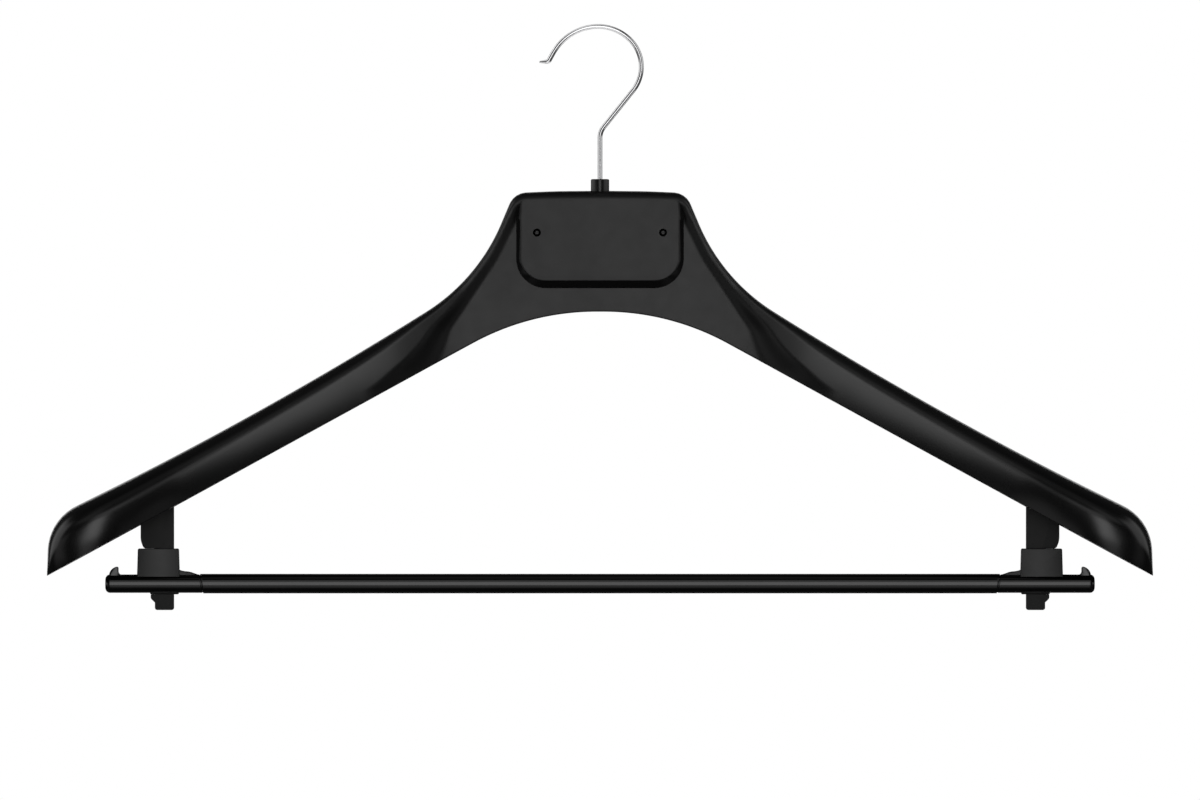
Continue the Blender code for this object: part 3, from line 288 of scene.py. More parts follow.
@named
class PlateSizes(bpy.types.PropertyGroup):
    """The cover plate and its pins."""
    face_half_width: metres("Half the width of the flat face", 0.0316)
    face_top_half_width: metres("The same at the top", 0.0314)
    half_width: metres("Half the width over the coves", 0.0341)
    top_half_width: metres("The same at the top", 0.0324)
    top_side: metres("How far down the plate reaches its full width", 0.0070)
    top_gap: metres("Top of the head to the top of the plate", 0.0036)
    height: metres("Height of the plate", 0.0362)
    bevel_drop: metres("How far the foot reaches below the face", 0.0033)
    corner_radius: metres("Radius of the foot's lower corners", 0.0120)
    face_corner_radius: metres("Radius of the face's lower corners", 0.0092)
    side_radius: metres("Radius where the sides turn upright", 0.0120)
    top_corner_radius: metres("Radius of the upper corners", 0.0006)
    side_roll: metres("Width of the rolled edge at the face's sides", 0.0014)
    foot_roll: metres("The same at its lower edge", 0.0002)
    side_slope: turn_angle("Slope of the bevel at the sides", 11)
    foot_slope: turn_angle("Slope of the bevel at the lower edge", 36)
    pin_recess: metres("Radius of the countersink round a pin's head", 0.00162)
    pin_sink: metres("Depth of that countersink", 0.0013)
    pin_head: metres("Radius of a pin's head", 0.00100)
    pin_flat: metres("Radius of the flat on a pin's head", 0.00055)
    pin_dimple: metres("Radius of the dimple in a pin's head", 0.00020)
    pin_shank: metres("Radius of a pin's shank", 0.0008)


@named
class WireSizes(bpy.types.PropertyGroup):
    """The bent wire of the hook and what it turns in."""
    side_radius: metres("Radius of the hook's side", 0.0155)
    crown_radius: metres("Radius of the hook's top", 0.0186)
    mouth_radius: metres("Radius of the hook's open side", 0.0212)
    side_offset: metres("Stem's axis to the centre of the side", 0.00138)
    lean: turn_angle("Lean of the straight run above the stem", 38.7)
    side_end: turn_angle("Where the side's arc ends", 44)
    crown_end: turn_angle("Where the top's arc ends", 95)
    mouth_end: turn_angle("Where the open side's arc ends", 151)
    run_out: metres("Straight wire before the lip", 0.0040)
    lip_length: metres("Length of the turned lip", 0.0034)
    lip_radius: metres("Inner bend of the lip", 0.0013)
    lip_angle: turn_angle("Direction of the lip", 181)
    stem_radius: metres("Bend above the stem", 0.0070)
    tip_share: share("Width of the lip's end, as a share of the wire", 0.42)
    collar_round: metres("Rounding of the collar's cap", 0.0005)
    sleeve_radius: metres("Radius of the collar's sleeve in the body", 0.0025)
    running_gap: metres("Gap between the wire and what it turns in", 0.0003)


@named
class BarSizes(bpy.types.PropertyGroup):
    """The drop posts, the trouser bar and its end fittings."""
    post_chamfer: metres("Width of the post's lower outer chamfer", 0.0013)
    post_chamfer_height: metres("Height of that chamfer", 0.0030)
    tab_width: metres("Width of the tab below the post's shoulder", 0.0078)
    tab_round: metres("Rounding of the tab's end", 0.0010)
    barb_width: metres("How far the barb stands out", 0.0017)
    barb_height: metres("Height of the barb", 0.0025)
    shoulder_rise: metres("Bar's axis to the post's shoulder", 0.0143)
    end_radius: metres("Radius of the end fittings", 0.00375)
    end_round: metres("Rounding of the bar's ends", 0.0019)
    sleeve_wall: metres("Wall of the bar's sleeve", 0.0007)
    spigot: metres("Length of the fitting inside the sleeve", 0.0140)
    joint_gap: metres("Gap between the sleeve and the fittings", 0.0003)
    seam: metres("Open seam between parts that are pressed together", 0.00004)
    joint_round: metres("Rounding of the fitting where it meets the sleeve", 0.0002)
    straight_start: metres("Rounded end to the ring that keeps the shading straight", 0.0008)
    joint_lean: turn_angle("Slant of the joint between sleeve and fitting", 9.0)
    block_overhang: metres("How far the block passes the post, inner side", 0.0020)
    block_outer_overhang: metres("The same on the outer side", 0.0011)
    block_flare: metres("How far the block widens downwards", 0.0004)
    block_thickness: metres("Thickness of the block", 0.0048)
    gusset_length: metres("Length of the gusset beside the block", 0.0085)
    gusset_height: metres("Height of the gusset", 0.0020)
    gusset_thickness: metres("Thickness of the gusset", 0.0022)
    boss_thickness: metres("Thickness of the boss", 0.0034)
    boss_depth: metres("How far the boss stands below the fitting", 0.0006)
    boss_margin: metres("How far the boss passes the tab", 0.0019)
    horn_height: metres("Height of the hooked horn", 0.0032)
    horn_width: metres("Width of the horn", 0.0046)
    horn_thickness: metres("Thickness of the horn", 0.0034)
    horn_setback: metres("Bar's end to the horn", 0.0016)
    soft_edge: metres("Rounding of moulded edges", 0.0003)


@named
class Finishes(bpy.types.PropertyGroup):
    """Colours of the finishes."""
    plastic: colour("Black moulded plastic", (0.0035, 0.0035, 0.0036))
    trim: colour("Black plastic of the small parts", (0.0035, 0.0035, 0.0035))
    tube: colour("Smooth black plastic of the bar", (0.0025, 0.0025, 0.0026))
    plated: colour("Bright plated wire", (0.72, 0.72, 0.73))
    steel: colour("Plain steel", (0.52, 0.52, 0.53))


@named
class StudioSettings(bpy.types.PropertyGroup):
    """Camera, floor and light."""
    frame_width: metres("Width of the picture at the hanger", 0.4896)
    frame_centre: metres("Height of the picture's centre", -0.1514)
    camera_distance: metres("Hanger to camera", 5.0)
    floor_drop: metres("Lowest part of the hanger to the floor", 0.098)
    floor_radius: metres("Radius of the floor", 0.45)
    floor_glow: share("How much lighter the camera sees the floor", 0.75)
    light: number("Strength of the soft light panels", 1.0)
    fill: share("Level of the weak light from everywhere", 0.03)
    wire_top: share("Level of the light above the wire", 0.75)
    wire_foot: share("Level of the light below the wire", 1.0)


def sizes(name):
    return getattr(bpy.context.scene, f"hanger_{name}")


# Shapes

def arc(centre, radius, start, end, spans):
    """Points on an arc in the front plane, both ends included."""
    angles = np.linspace(start, end, spans + 1)
    return [(centre[0] + radius * math.cos(a), centre[1] + radius * math.sin(a)) for a in angles]


def rounded(corners, radii, spans=24):
    """An open line through corners, with an arc at each inner one."""
    line = [tuple(corners[0])]
    for before, corner, after, radius in zip(corners, corners[1:], corners[2:], radii):
        corner = Vector(corner)
        back = (Vector(before) - corner).normalized()
        ahead = (Vector(after) - corner).normalized()
        half = back.angle(ahead) / 2
        centre = corner + (back + ahead).normalized() * radius / math.sin(half)
        first = corner + back * radius / math.tan(half) - centre
        last = corner + ahead * radius / math.tan(half) - centre
        start = math.atan2(first.y, first.x)
        turn = (math.atan2(last.y, last.x) - start + math.pi) % FULL_TURN - math.pi
        line += arc(centre, radius, start, start + turn, spans)
    return line + [tuple(corners[-1])]


class Line:
    """A bent line in the front plane that gives its points, directions and distances."""

    def __init__(self, points):
        self.points = np.array(points, float)
        self.reach = np.concatenate(([0.0], np.cumsum(np.hypot(*np.diff(self.points, axis=0).T))))

    def at(self, where):
        goal = where * self.reach[-1]
        return np.array([np.interp(goal, self.reach, column) for column in self.points.T])

    def direction(self, where, step=0.001):
        ahead = self.at(min(where + step, 1.0)) - self.at(max(where - step, 0.0))
        return ahead / np.linalg.norm(ahead)

    def height(self, x):
        return float(np.interp(x, *self.points.T))

    def beside(self, places):
        """Distances of places from the line, positive on the right hand of someone who walks along it."""
        starts, spans = self.points[:-1], np.diff(self.points, axis=0)
        away = places[:, None] - starts
        part = np.clip((away * spans).sum(2) / (spans ** 2).sum(1), 0, 1)
        offset = away - spans * part[..., None]
        distance = np.hypot(offset[..., 0], offset[..., 1])
        rows, nearest = np.arange(len(places)), distance.argmin(1)
        span, gap = spans[nearest], offset[rows, nearest]
        cross = span[:, 0] * gap[:, 1] - span[:, 1] * gap[:, 0]
        return distance[rows, nearest] * np.where(cross > 0, -1.0, 1.0)


def ring(shape, points):
    """A closed loop of edges through points."""
    loop = [shape.verts.new(point) for point in points]
    return [shape.edges.new((loop[i - 1], loop[i])) for i in range(len(loop))]


def skin(rings):
    """Bridge each ring to the next and close the first and the last."""
    shape = bmesh.new()
    loops = [ring(shape, points) for points in rings]
    for near, far in zip(loops, loops[1:]):
        bmesh.ops.bridge_loops(shape, edges=near + far)
    for end in (loops[0], loops[-1]):
        bmesh.ops.contextual_create(shape, geom=end)
    return shape


def turned(profile, steps):
    """Spin a profile of (radius, height) about Z."""
    shape = bmesh.new()
    points = [shape.verts.new((radius, 0, height)) for radius, height in profile]
    edges = [shape.edges.new(pair) for pair in zip(points, points[1:])]
    bmesh.ops.spin(shape, geom=points + edges, cent=(0, 0, 0), axis=(0, 0, 1), angle=FULL_TURN, steps=steps,
                   use_merge=True)
    return shape


def flat_piece(corners, rounds, thickness, soft):
    """Extrude an outline of (x, z) about the bar's middle, with rounded corners and soft rims."""
    shape = bmesh.new()
    front = BAR_Y - thickness / 2
    loop = [shape.verts.new((x, front, z)) for x, z in corners]
    shape.faces.new(loop)
    for vertex, radius in zip(loop, rounds):
        if radius:
            bmesh.ops.bevel(shape, geom=[vertex], offset=radius, segments=6, affect="VERTICES", profile=0.5,
                            material=-1)
    made = bmesh.ops.extrude_face_region(shape, geom=shape.faces[:])
    moved = [item for item in made["geom"] if isinstance(item, bmesh.types.BMVert)]
    bmesh.ops.translate(shape, verts=moved, vec=(0, thickness, 0))
    bmesh.ops.recalc_face_normals(shape, faces=shape.faces)
    rim = [edge for edge in shape.edges if abs(edge.verts[0].co.y - edge.verts[1].co.y) < MERGE]
    bmesh.ops.bevel(shape, geom=rim, offset=soft, segments=3, affect="EDGES", profile=0.5, material=-1,
                    clamp_overlap=True)
    return shape


def block(low, high):
    shape = bmesh.new()
    bmesh.ops.create_cube(shape, size=1.0)
    low, high = Vector(low), Vector(high)
    place = Matrix.Translation((low + high) / 2) @ Matrix.Diagonal((*(high - low), 1.0))
    bmesh.ops.transform(shape, matrix=place, verts=shape.verts)
    return shape


def rod(radius, start, end, sides=DISC_STEPS, end_radius=None):
    """Cylinder or cone between two points."""
    start, end = Vector(start), Vector(end)
    shape = bmesh.new()
    bmesh.ops.create_cone(shape, cap_ends=True, segments=sides, radius1=radius,
                          radius2=radius if end_radius is None else end_radius, depth=(end - start).length)
    turn = Vector((0, 0, 1)).rotation_difference(end - start).to_matrix().to_4x4()
    bmesh.ops.transform(shape, matrix=Matrix.Translation((start + end) / 2) @ turn, verts=shape.verts)
    return shape


def pin_rod(side, radius, front, back, end_radius=None):
    """A rod from front to back on the axis of one side's pin."""
    return rod(radius, (side * PIN_X, front, PIN_Z), (side * PIN_X, back, PIN_Z), end_radius=end_radius)


def span_box(side, near, far):
    """Two distances from the middle as low and high X on one side."""
    return (near, far) if side > 0 else (-far, -near)


def mirror_points(points, side):
    return [(x * side, z) for x, z in points]


# Objects

def linked(name, data):
    """A new object in the scene."""
    obj = bpy.data.objects.new(name, data)
    bpy.context.scene.collection.objects.link(obj)
    return obj


def clean(shape):
    bmesh.ops.remove_doubles(shape, verts=shape.verts, dist=MERGE)
    bmesh.ops.dissolve_degenerate(shape, edges=shape.edges, dist=MERGE)
    bmesh.ops.recalc_face_normals(shape, faces=shape.faces)


def solid(name, *shapes):
    """One object from closed shapes that don't touch."""
    mesh = bpy.data.meshes.new(name)
    whole = bmesh.new()
    for shape in shapes:
        clean(shape)
        shape.to_mesh(mesh)
        whole.from_mesh(mesh)
        shape.free()
    whole.to_mesh(mesh)
    whole.free()
    return linked(name, mesh)


def combine(obj, operation, *others):
    """Boolean with other objects, which are used up."""
    for other in others:
        modifier = obj.modifiers.new(operation.lower(), "BOOLEAN")
        modifier.operation = operation
        modifier.solver = "EXACT"
        modifier.object = other
    bpy.context.view_layer.update()
    mesh = bpy.data.meshes.new_from_object(obj.evaluated_get(bpy.context.evaluated_depsgraph_get()))
    obj.modifiers.clear()
    obj.data = mesh
    for other in others:
        bpy.data.objects.remove(other, do_unlink=True)


def finish_piece(obj, material, body, nodes, sharp=35.0):
    """Check that a piece is closed, shade it and give it its finish and its place in the frame."""
    shape = bmesh.new()
    shape.from_mesh(obj.data)
    bmesh.ops.remove_doubles(shape, verts=shape.verts, dist=MERGE)
    open_edges = [edge for edge in shape.edges if len(edge.link_faces) != 2]
    shape.to_mesh(obj.data)
    shape.free()
    if open_edges:
        raise RuntimeError(f"{obj.name} has {len(open_edges)} edges that aren't shared by two faces")
    obj.data.materials.clear()
    obj.data.materials.append(material)
    obj.data.shade_smooth()
    obj.data.set_sharp_from_angle(angle=math.radians(sharp))
    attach(obj, body)
    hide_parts(*nodes)


# Finishes

class Nodes:
    """Short calls that add nodes to a material or world and link them."""

    def __init__(self, owner):
        owner.use_nodes = True
        self.tree = owner.node_tree
        self.tree.nodes.clear()

    def add(self, kind, links=None, **settings):
        node = self.tree.nodes.new(kind)
        for key, value in settings.items():
            setattr(node, key, value)
        for key, value in (links or {}).items():
            if isinstance(value, bpy.types.NodeSocket):
                self.tree.links.new(value, node.inputs[key])
            else:
                node.inputs[key].default_value = value
        return node

    def math(self, operation, first, second=0.0):
        return self.add("ShaderNodeMath", {0: first, 1: second}, operation=operation).outputs[0]

    def span(self, value, low, high, new_low, new_high, ease="LINEAR"):
        links = {"Value": value, "From Min": low, "From Max": high, "To Min": new_low, "To Max": new_high}
        return self.add("ShaderNodeMapRange", links, interpolation_type=ease).outputs["Result"]

    def noise(self, place, scale, detail=2.0):
        links = {"Vector": place, "Scale": scale, "Detail": detail}
        return self.add("ShaderNodeTexNoise", links).outputs["Fac"]

    def mix(self, factor, first, second, kind="FLOAT"):
        links = {"Factor": factor, "A": first, "B": second}
        return self.add("ShaderNodeMix", links, data_type=kind).outputs["Result"]


def tint(base, factor):
    return (*(min(1.0, part * factor) for part in base), 1.0)


class Finish(Nodes):
    """A material between two tints, with its gloss and a fine bump."""

    def __init__(self, name):
        self.material = bpy.data.materials.new(name)
        super().__init__(self.material)
        self.place = self.add("ShaderNodeTexCoord").outputs["Object"]

    def finished(self, tints, factor, gloss, bump, **more):
        """Link up the shader. bump is its height, strength and distance."""
        shade = self.mix(factor, *tints, "RGBA")
        bump = self.add("ShaderNodeBump", dict(zip(("Height", "Strength", "Distance"), bump)))
        links = {"Base Color": shade, "Roughness": gloss, "Normal": bump.outputs["Normal"], **more}
        shader = self.add("ShaderNodeBsdfPrincipled", links)
        self.add("ShaderNodeOutputMaterial", {"Surface": shader.outputs["BSDF"]})
        return self.material


def moulded_plastic(name, base, roughness, polished=()):
    """Satin moulded plastic: a fine spark-eroded grain, slow flow marks and a little rubbing.

    polished lists (axis, start, end, roughness) where a piece gets smoother further from the origin.
    """
    finish = Finish(name)
    flow = finish.noise(finish.place, scale=38.0, detail=3.0)
    speck = finish.noise(finish.place, scale=2600.0, detail=1.0)
    rubbed = finish.noise(finish.place, scale=210.0, detail=4.0)
    gloss = finish.span(finish.math("ADD", flow, rubbed), 0.7, 1.3, roughness - 0.02, roughness + 0.02)
    for axis, start, end, smooth in polished:
        parts = finish.add("ShaderNodeSeparateXYZ", {"Vector": finish.place}).outputs
        zone = finish.span(finish.math("ABSOLUTE", parts[axis]), start, end, 0.0, 1.0)
        gloss = finish.mix(zone, gloss, smooth)
    factor = finish.span(flow, 0.3, 0.7, 0.0, 1.0)
    return finish.finished((tint(base, 0.9), tint(base, 1.12)), factor, gloss, (speck, 0.6, GRAIN),
                           IOR=PLASTIC_IOR)


def drawn_tube(name, base, roughness):
    """Smooth extruded plastic with faint lines along the bar."""
    finish = Finish(name)
    stretched = finish.add("ShaderNodeMapping", {"Vector": finish.place, "Scale": (0.02, 1.0, 1.0)})
    lines = finish.noise(stretched.outputs["Vector"], scale=1500.0)
    flow = finish.noise(finish.place, scale=60.0)
    gloss = finish.span(finish.math("ADD", lines, flow), 0.7, 1.3, roughness - 0.015, roughness + 0.015)
    return finish.finished((tint(base, 0.9), tint(base, 1.1)), flow, gloss, (lines, 0.3, 0.0000015),
                           IOR=PLASTIC_IOR)


def metal(name, base, roughness, grain):
    """Metal with a fine grain and slightly uneven gloss."""
    finish = Finish(name)
    cloud = finish.noise(finish.place, scale=260.0, detail=3.0)
    speck = finish.noise(finish.place, scale=4200.0, detail=1.0)
    gloss = finish.span(cloud, 0.3, 0.7, roughness * 0.8, roughness * 1.2)
    return finish.finished((tint(base, 0.96), tint(base, 1.03)), cloud, gloss, (speck, 0.2, grain),
                           Metallic=1.0)


# Moulded body

def ease(part):
    part = np.clip(part, 0.0, 1.0)
    return part * part * (3 - 2 * part)


def row_slopes(rows):
    """Slopes of a table's columns that never overshoot: zero where a column turns or rests."""
    chords = np.diff(rows[:, 1:], axis=0) / np.diff(rows[:, 0])[:, None]
    slopes = np.zeros_like(rows[:, 1:])
    left, right = chords[:-1], chords[1:]
    same = left * right > 0
    slopes[1:-1][same] = (2 * left * right)[same] / (left + right)[same]
    return slopes


class BodyForm:
    """The moulded body's surface as sections from its upper outline to its lower one."""

    def __init__(self, size):
        self.size = size
        corner = HEAD_TOP - size.corner_fall
        foot = (size.head_half_width + size.neck_spread, corner - size.neck_height)
        tip = (size.half_span, HEAD_TOP - size.tip_drop)
        upper = ((0, HEAD_TOP), (size.crown_place, HEAD_TOP - size.crown_fall),
                 (size.head_half_width, corner), foot, (foot[0] + size.bow_reach, foot[1] - size.bow_fall),
                 (size.half_span - size.shoulder_draft, tip[1] + size.shoulder_height), tip)
        self.upper = Line(rounded(upper, (size.crown_radius, size.corner_radius, size.neck_radius,
                                          size.bow_radius, size.shoulder_radius)))
        arch = HEAD_TOP - size.arch_drop
        lower = ((0, arch), (size.arch_half_width, arch), tip)
        self.lower = Line(rounded(lower, (size.arch_radius,), spans=48))
        self.crease_reach = CREASE_CORNERS[-1][1]
        crease = [(x, HEAD_TOP - drop) for x, drop in CREASE_CORNERS]
        self.crease = Line(rounded(crease, CREASE_RADII, spans=8))
        self.slopes = row_slopes(FORM_SHARES)

    def form_at(self, where):
        """Lower share, depth, dome, rim and sweep at a share of the upper outline."""
        places = FORM_SHARES[:, 0]
        index = int(np.clip(np.searchsorted(places, where), 1, len(places) - 1))
        span = places[index] - places[index - 1]
        t = min(max((where - places[index - 1]) / span, 0.0), 1.0)
        low, high = FORM_SHARES[index - 1, 1:], FORM_SHARES[index, 1:]
        rise = ease(t)
        return (low + (high - low) * rise + self.slopes[index - 1] * span * (t - 2 * t * t + t ** 3)
                + self.slopes[index] * span * (t ** 3 - t * t))

    def sunk(self, places):
        """How far places lie in the head's flat: 0 on the rim and the arm, 1 on the flat."""
        fall = np.minimum((HEAD_TOP - places[:, 1]) / self.crease_reach, CREASE_SPREAD_SHARE)
        outward = (self.size.crease_foot_width - self.size.crease_width) / 2 * fall ** CREASE_SPREAD_POWER
        width = self.size.crease_width + 2 * outward
        return ease((self.crease.beside(places) + outward) / width + 0.5)

    def half_section(self, where, inset, end, steps, lip=0.0):
        """Distances down a section, half depths there, and how to place them; lip is left off its end."""
        size = self.size
        lower, depth, dome, rim, sweep = self.form_at(where)
        top, bottom = self.upper.at(where), self.lower.at(lower)
        down = bottom - top
        length = np.linalg.norm(down)
        if length > MERGE:
            down = down / length
            way = self.upper.direction(where)
            square = max(abs(way[0] * down[1] - way[1] * down[0]), SLANT_LIMIT_SHARE)
        else:
            square = 1.0
        roll = (size.edge_height + (size.dome_height - size.edge_height) * dome) / square
        roll = min(roll, length * ROLL_LIMIT_SHARE)
        part = min(max((where - end + TIP_ROUND_SHARE) / TIP_ROUND_SHARE, 0.0), 1.0)
        close = math.sqrt(1 - part * part)
        swell = (size.shoulder_half_depth - size.head_half_depth) * depth
        full = (size.head_half_depth + size.rim_height * rim + swell - inset) * close
        flat = min(size.head_half_depth - inset, full)
        roll_steps, wall_steps = steps
        angles = np.linspace(QUARTER_TURN, 0, roll_steps + 1)
        along = inset + (roll - inset) * (1 - np.sin(angles) ** (2 / size.roll_power))
        out = full * np.maximum(np.cos(angles), 0.0) ** (2 / size.roll_power)
        out[0] = 0.0
        below = np.linspace(roll, max(length - lip, roll), wall_steps + 1)[1:]
        places = top + down * below[:, None]
        down_wall = (below - roll) / max(length - roll, MERGE)
        lean = size.tuck * min(2 * depth, 1) * close ** 3 * down_wall ** 2
        depth_here = full + (flat - full) * self.sunk(places) - lean
        along, out = np.append(along, below), np.append(out, depth_here)
        return along, np.maximum(out, 0.0), top, down, -size.shoulder_sweep * sweep

    def place(self, section, along, out, side):
        """Points at distances down a section and depths out of its middle, on one side of the hanger."""
        _, _, top, down, middle = section
        flat = top + down * np.asarray(along)[:, None]
        return [(x * side, middle + y, z) for (x, z), y in zip(flat, out)]

    def station(self, t):
        """Share of the upper outline at a station from 0 to 1: even, then crowded towards the tip."""
        start = 1 - TIP_ROUND_SHARE
        if t < EVEN_STATION_SHARE:
            return start * t / EVEN_STATION_SHARE
        left = (t - EVEN_STATION_SHARE) / (1 - EVEN_STATION_SHARE)
        return start + TIP_ROUND_SHARE * math.sin(QUARTER_TURN * left)

    def wall_ring(self, t):
        """The moulded wall cut at a station: outer skin, lower lip, hollow and lip again."""
        size, side = self.size, 1 if t >= 0 else -1
        where = self.station(abs(t))
        lip = size.lip * min((1 - where) / TIP_ROUND_SHARE, 1.0)
        outer = self.half_section(where, 0.0, 1.0, OUTER_STEPS, lip)
        end = 1 - HOLLOW_TIP_SHARE
        hollow = self.half_section(where * end, size.wall, end, HOLLOW_STEPS)
        turn = np.linspace(0, QUARTER_TURN, 5)[1:]
        along = np.append(outer[0], outer[0][-1] + lip * np.sin(turn))
        out = np.append(outer[1], outer[1][-1] - lip * (1 - np.cos(turn)))
        front, back = (self.place(outer, along, facing * out, side) for facing in (-1, 1))
        inner_front, inner_back = (self.place(hollow, hollow[0], facing * hollow[1], side)
                                   for facing in (-1, 1))
        return front[::-1] + back[1:] + inner_back[::-1] + inner_front[1:]

    def solid_ring(self, t, inset):
        """A closed section at a station, for the solid that trims the ribs."""
        side = 1 if t >= 0 else -1
        end = 1 - HOLLOW_TIP_SHARE / 2
        section = self.half_section(self.station(abs(t)) * end, inset, end, TRIM_STEPS)
        front = self.place(section, section[0], -section[1], side)
        back = self.place(section, section[0], section[1], side)
        return front[::-1] + back[1:]


def bent_grid(stations, ring_at):
    """A grid whose columns are bent into rings along the hanger, welded round and at both tips."""
    rings = [ring_at(t) for t in np.linspace(-1, 1, stations + 1)]
    around = len(rings[0])
    shape = bmesh.new()
    bmesh.ops.create_grid(shape, x_segments=stations, y_segments=around, size=0.5)
    for vertex in shape.verts:
        column = round((vertex.co.x + 0.5) * stations)
        row = round((vertex.co.y + 0.5) * around) % around
        vertex.co = rings[column][row]
    return shape


def body_insides(form):
    """Ribs, post sockets, the stem's boss and the pin bosses, before they are trimmed to the hollow."""
    size = form.size
    depth, half_head = size.shoulder_half_depth * 2 + size.shoulder_sweep, size.head_half_depth
    round_post = FIT_GAP + SOCKET_WALL
    half_wall = (POST_HIGH.y - POST_LOW.y) / 2 + round_post
    mouth = form.lower.height(POST_LOW.x - round_post) + SOCKET_WALL
    shapes = []
    for side, _ in SIDES:
        for place_share in RIB_PLACE_SHARES:
            middle = side * size.half_span * place_share
            low = form.lower.height(abs(middle)) + size.rib_lift
            shapes.append(block((middle - size.rib / 2, -depth, low),
                                (middle + size.rib / 2, depth, HEAD_TOP)))
        near, far = span_box(side, POST_LOW.x - round_post, POST_HIGH.x + round_post)
        shapes.append(block((near, BAR_Y - half_wall, mouth), (far, BAR_Y + half_wall, HEAD_TOP)))
        shapes.append(pin_rod(side, PIN_BOSS_RADIUS, -half_head, half_head))
    shapes.append(block((-STEM_BOSS_HALF_WIDTH, -half_head, COLLAR_LOW.z),
                        (STEM_BOSS_HALF_WIDTH, half_head, HEAD_TOP + OVERCUT)))
    return solid("insides", *shapes)


def body_cutters(form):
    """Stem hole, collar seat, the lock ring's pocket, post sockets and pin holes."""
    before = -form.size.head_half_depth - OVERCUT
    shapes = [block((-POCKET_HALF_WIDTH, before, COLLAR_LOW.z - POCKET_FLOOR),
                    (POCKET_HALF_WIDTH, 0.0, COLLAR_LOW.z - POCKET_TOP))]
    low = form.lower.height(POST_LOW.x) - form.size.shoulder_half_depth
    for side, _ in SIDES:
        near, far = span_box(side, POST_LOW.x - FIT_GAP, POST_HIGH.x + FIT_GAP)
        shapes.append(block((near, POST_LOW.y - FIT_GAP, low),
                            (far, POST_HIGH.y + FIT_GAP, POST_HIGH.z + FIT_GAP)))
        shapes.append(pin_rod(side, PIN_HOLE_RADIUS, before, PIN_HIGH.y + FIT_GAP))
    over = (0, 0, HEAD_TOP + OVERCUT)
    stem = rod(sizes("wire").sleeve_radius + FIT_GAP, over, (0, 0, COLLAR_LOW.z - FIT_GAP))
    seat = rod(COLLAR_RADIUS + SEAT_GAP, over, (0, 0, HEAD_TOP - SEAT_DEPTH), TUBE_STEPS)
    return solid("cutters", *shapes), solid("stem_hole", stem), solid("collar_seat", seat)


class HANGER_OT_body(bpy.types.Operator):
    """Make the moulded body with its hollow, ribs and sockets"""
    bl_idname = "hanger.body"
    bl_label = "Moulded body"

    def execute(self, context):
        form = BodyForm(sizes("body"))
        body = solid("moulded_body", bent_grid(2 * STATIONS, form.wall_ring))
        insides = body_insides(form)
        trim = solid("trim", bent_grid(STATIONS, lambda t: form.solid_ring(t, form.size.wall / 2)))
        combine(insides, "INTERSECT", trim)
        combine(body, "UNION", insides)
        combine(body, "DIFFERENCE", *body_cutters(form))
        finish = moulded_plastic("satin black plastic", sizes("finishes").plastic, roughness=0.40,
                                 polished=ARM_POLISH)
        finish_piece(body, finish, "hanger", ["hanger_shell"], 40.0)
        return {"FINISHED"}


# Cover plate and pins

def plate_outline(size, half_width, top_half_width, drop, corner_radius):
    """Closed outline of the plate, from the middle of its top round to the left."""
    body = sizes("body")
    top = HEAD_TOP - size.top_gap
    slope = (body.corner_fall - body.crown_fall) / (body.head_half_width - body.crown_place)
    corner = top - body.crown_fall - (top_half_width - body.crown_place) * slope
    right = [(0, top), (body.crown_place, top - body.crown_fall), (top_half_width, corner),
             (half_width, corner - size.top_side), (half_width, top - drop), (0, top - drop)]
    radii = (body.crown_radius, size.top_corner_radius, size.side_radius, corner_radius)
    line = rounded(right, radii, spans=12)
    return line + [(-x, z) for x, z in reversed(line[1:-1])]


